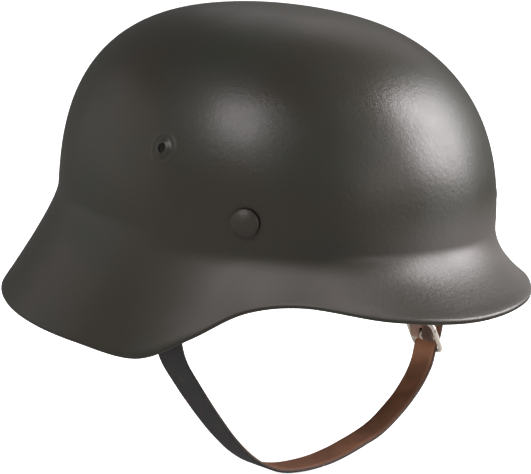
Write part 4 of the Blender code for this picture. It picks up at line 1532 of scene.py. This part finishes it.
def waxed_thread():
    """Off-white waxed thread with a fine twist."""
    thread = Finish("waxed_thread")
    where = thread.place()
    twist = thread.cloud(thread.stretch(where, TWIST_SCALES), 1.0, 2.0)
    soil = thread.blots(where, THREAD_SPOTS)
    return thread.dress(Base_Color=thread.mix(soil, THREAD_COLOR, THREAD_SOIL), Roughness=0.6 + 0.2 * twist,
                        Normal=thread.bump(twist, TWIST_DEPTH))


thread_finish = waxed_thread()

# %% Stitch seams
STITCH_LENGTH = 0.0026
STITCH_GAP = 0.0009
STITCH_RADIUS = 0.00038
STITCH_INSET = 0.0021
STITCH_SIDES = 8
STITCH_RINGS = 7


def stitch(place, along, out):
    """One pillow of thread on the leather."""
    cross = along.cross(out)
    points = []
    for ring in range(STITCH_RINGS):
        share = ring / (STITCH_RINGS - 1)
        swell = math.sin(math.pi * min(max(share, 0.06), 0.94)) ** 0.5
        middle = place + along * STITCH_LENGTH * (share - 0.5) - out * STITCH_RADIUS * (1.1 - swell)
        for side in range(STITCH_SIDES):
            turn = 2 * math.pi * side / STITCH_SIDES
            points.append(middle + STITCH_RADIUS * swell * (math.cos(turn) * cross + math.sin(turn) * out))
    faces = grid_faces(STITCH_RINGS, STITCH_SIDES)
    last = (STITCH_RINGS - 1) * STITCH_SIDES
    return points, faces + [list(range(STITCH_SIDES)), list(range(last, last + STITCH_SIDES))]


def seam(path, turns, start, stop, across_share, thickness, closed, layer_side):
    """Stitches along part of a strap's path, on its grain side."""
    made = []
    travelled, due = 0.0, start + STITCH_LENGTH / 2
    for index in range(1, len(path)):
        travelled += (path[index] - path[index - 1]).length
        if travelled > stop or travelled < due:
            continue
        along, across, deep = strap_axes(path, index, turns[index], closed)
        offset = across_share * (STRAP_WIDTH / 2 - STITCH_INSET)
        place = path[index] + offset * across + layer_side * deep * thickness / 2
        made.append(stitch(place, along, layer_side * deep))
        due = travelled + STITCH_LENGTH + STITCH_GAP
    return made


# %% Sew the seams
SHORT_SEAM_START = 0.004
SHORT_SEAM_LENGTH = 0.036
SHORT_SEAM_BACK = 0.008
LONG_SEAM_STARTS = (0.003, 0.041)
LONG_SEAM_LENGTH = 0.018

inner_seam_start = path_length(loop) / 2 + SHORT_SEAM_BACK
stitches = []
for share in (-1, 1):
    for start in (SHORT_SEAM_START, inner_seam_start):
        stitches += seam(loop, headings, start, start + SHORT_SEAM_LENGTH, share, SHORT_STRAP_THICKNESS,
                         True, -1)
    for start in LONG_SEAM_STARTS:
        stitches += seam(path, turns, start, start + LONG_SEAM_LENGTH, share, STRAP_THICKNESS, False, -1)
print(len(stitches), "stitches")
threads = joined("seam_stitches", stitches, thread_finish)
settle(threads, "strap_leather")

# %% [markdown]
# ## Buckle
# The buckle is a rounded frame of plated wire with a middle bar, and a prong of thinner wire. Wire swept
# along a path gives its round section, and the finish is a slightly warm plating with fine scratches,
# matte in worn patches and darker in small tarnished ones.

# %% Plated wire finish
PLATE_COLOR = (0.86, 0.78, 0.69)
TARNISH_COLOR = (0.26, 0.21, 0.15)
DULL_PATCHES = Blots(240.0, 4.0, 0.42, 0.66)
TARNISH_SPOTS = Blots(700.0, 3.0, 0.56, 0.74)
SCRATCH_SCALES = (500.0, 2600.0, 500.0)
SCRATCH_DEPTH = 0.00002


def plated_wire():
    """Worn nickel plating on steel wire."""
    metal = Finish("buckle_plating")
    where = metal.place()
    scratches = metal.cloud(metal.stretch(where, SCRATCH_SCALES), 1.0, 3.0, 0.7)
    dull = metal.blots(where, DULL_PATCHES)
    tarnish = metal.blots(where, TARNISH_SPOTS)
    color = metal.mix(tarnish * 0.7, PLATE_COLOR, TARNISH_COLOR)
    return metal.dress(Base_Color=color, Metallic=0.65, Roughness=0.38 + 0.16 * dull + 0.15 * tarnish,
                       Normal=metal.bump(scratches, SCRATCH_DEPTH))


plating = plated_wire()

# %% Buckle frame
BUCKLE_CORNER = 0.0035
BUCKLE_CORNER_STEPS = 10
BUCKLE_BAR_STEPS = 9
WIRE_SIDES = 28
ACROSS = Vector((0.0, 1.0, 0.0))


def buckle_frame():
    """Rounded rectangle of wire with its middle bar."""
    hinge, down_frame = hinge_point(), frame_down()
    half = STRAP_WIDTH / 2 + SIDE_PLAY + BUCKLE_WIRE_RADIUS
    path_frame = []
    for index, (wide, deep) in enumerate(((1, 1), (-1, 1), (-1, -1), (1, -1))):
        corner = (hinge + wide * (half - BUCKLE_CORNER) * ACROSS
                  + deep * (BUCKLE_HALF_LENGTH - BUCKLE_CORNER) * down_frame)
        path_frame += arc(corner, BUCKLE_CORNER, ACROSS, down_frame, 90.0 * index, 90.0 * (index + 1),
                          BUCKLE_CORNER_STEPS)
    ring = wire(path_frame, [BUCKLE_WIRE_RADIUS] * len(path_frame), WIRE_SIDES, True,
                ACROSS.cross(down_frame))
    bar_path = [hinge + ACROSS * half * share for share in np.linspace(-1, 1, BUCKLE_BAR_STEPS).tolist()]
    bar = wire(bar_path, [BUCKLE_BAR_RADIUS] * len(bar_path), WIRE_SIDES, False, UP)
    return joined("buckle_wire_frame", [ring, bar], plating)


settle(buckle_frame(), "buckle_metal", "buckle_frame")

# %% Prong
PRONG_EYE_TURN = 240.0
PRONG_EYE_STEPS = 28
PRONG_TIP_SHARE = 0.7
PRONG_TIP_ROUND = 0.0003
PRONG_STEPS = 14


def buckle_prong():
    """Open eye round the middle bar and a straight tongue that thins to its tip."""
    start, end, out_frame = prong_line()
    hinge, down_frame = hinge_point(), frame_down()
    radius = BUCKLE_BAR_RADIUS + GAP + PRONG_RADIUS
    eye = arc(hinge, radius, out_frame, -down_frame, PRONG_EYE_TURN, 0.0, PRONG_EYE_STEPS)[:-1]
    shares = np.linspace(0, 1, PRONG_STEPS).tolist()
    tongue = [start.lerp(end, share) for share in shares] + [end + PRONG_TIP_ROUND * down_frame]
    radii = [PRONG_RADIUS] * len(eye)
    radii += [PRONG_RADIUS * (1 - (1 - PRONG_TIP_SHARE) * share) for share in shares]
    radii.append(PRONG_RADIUS * PRONG_TIP_SHARE / 2)
    return joined("buckle_wire_prong", [wire(eye + tongue, radii, WIRE_SIDES, False, ACROSS)], plating)


settle(buckle_prong(), "buckle_metal", "buckle_prong")
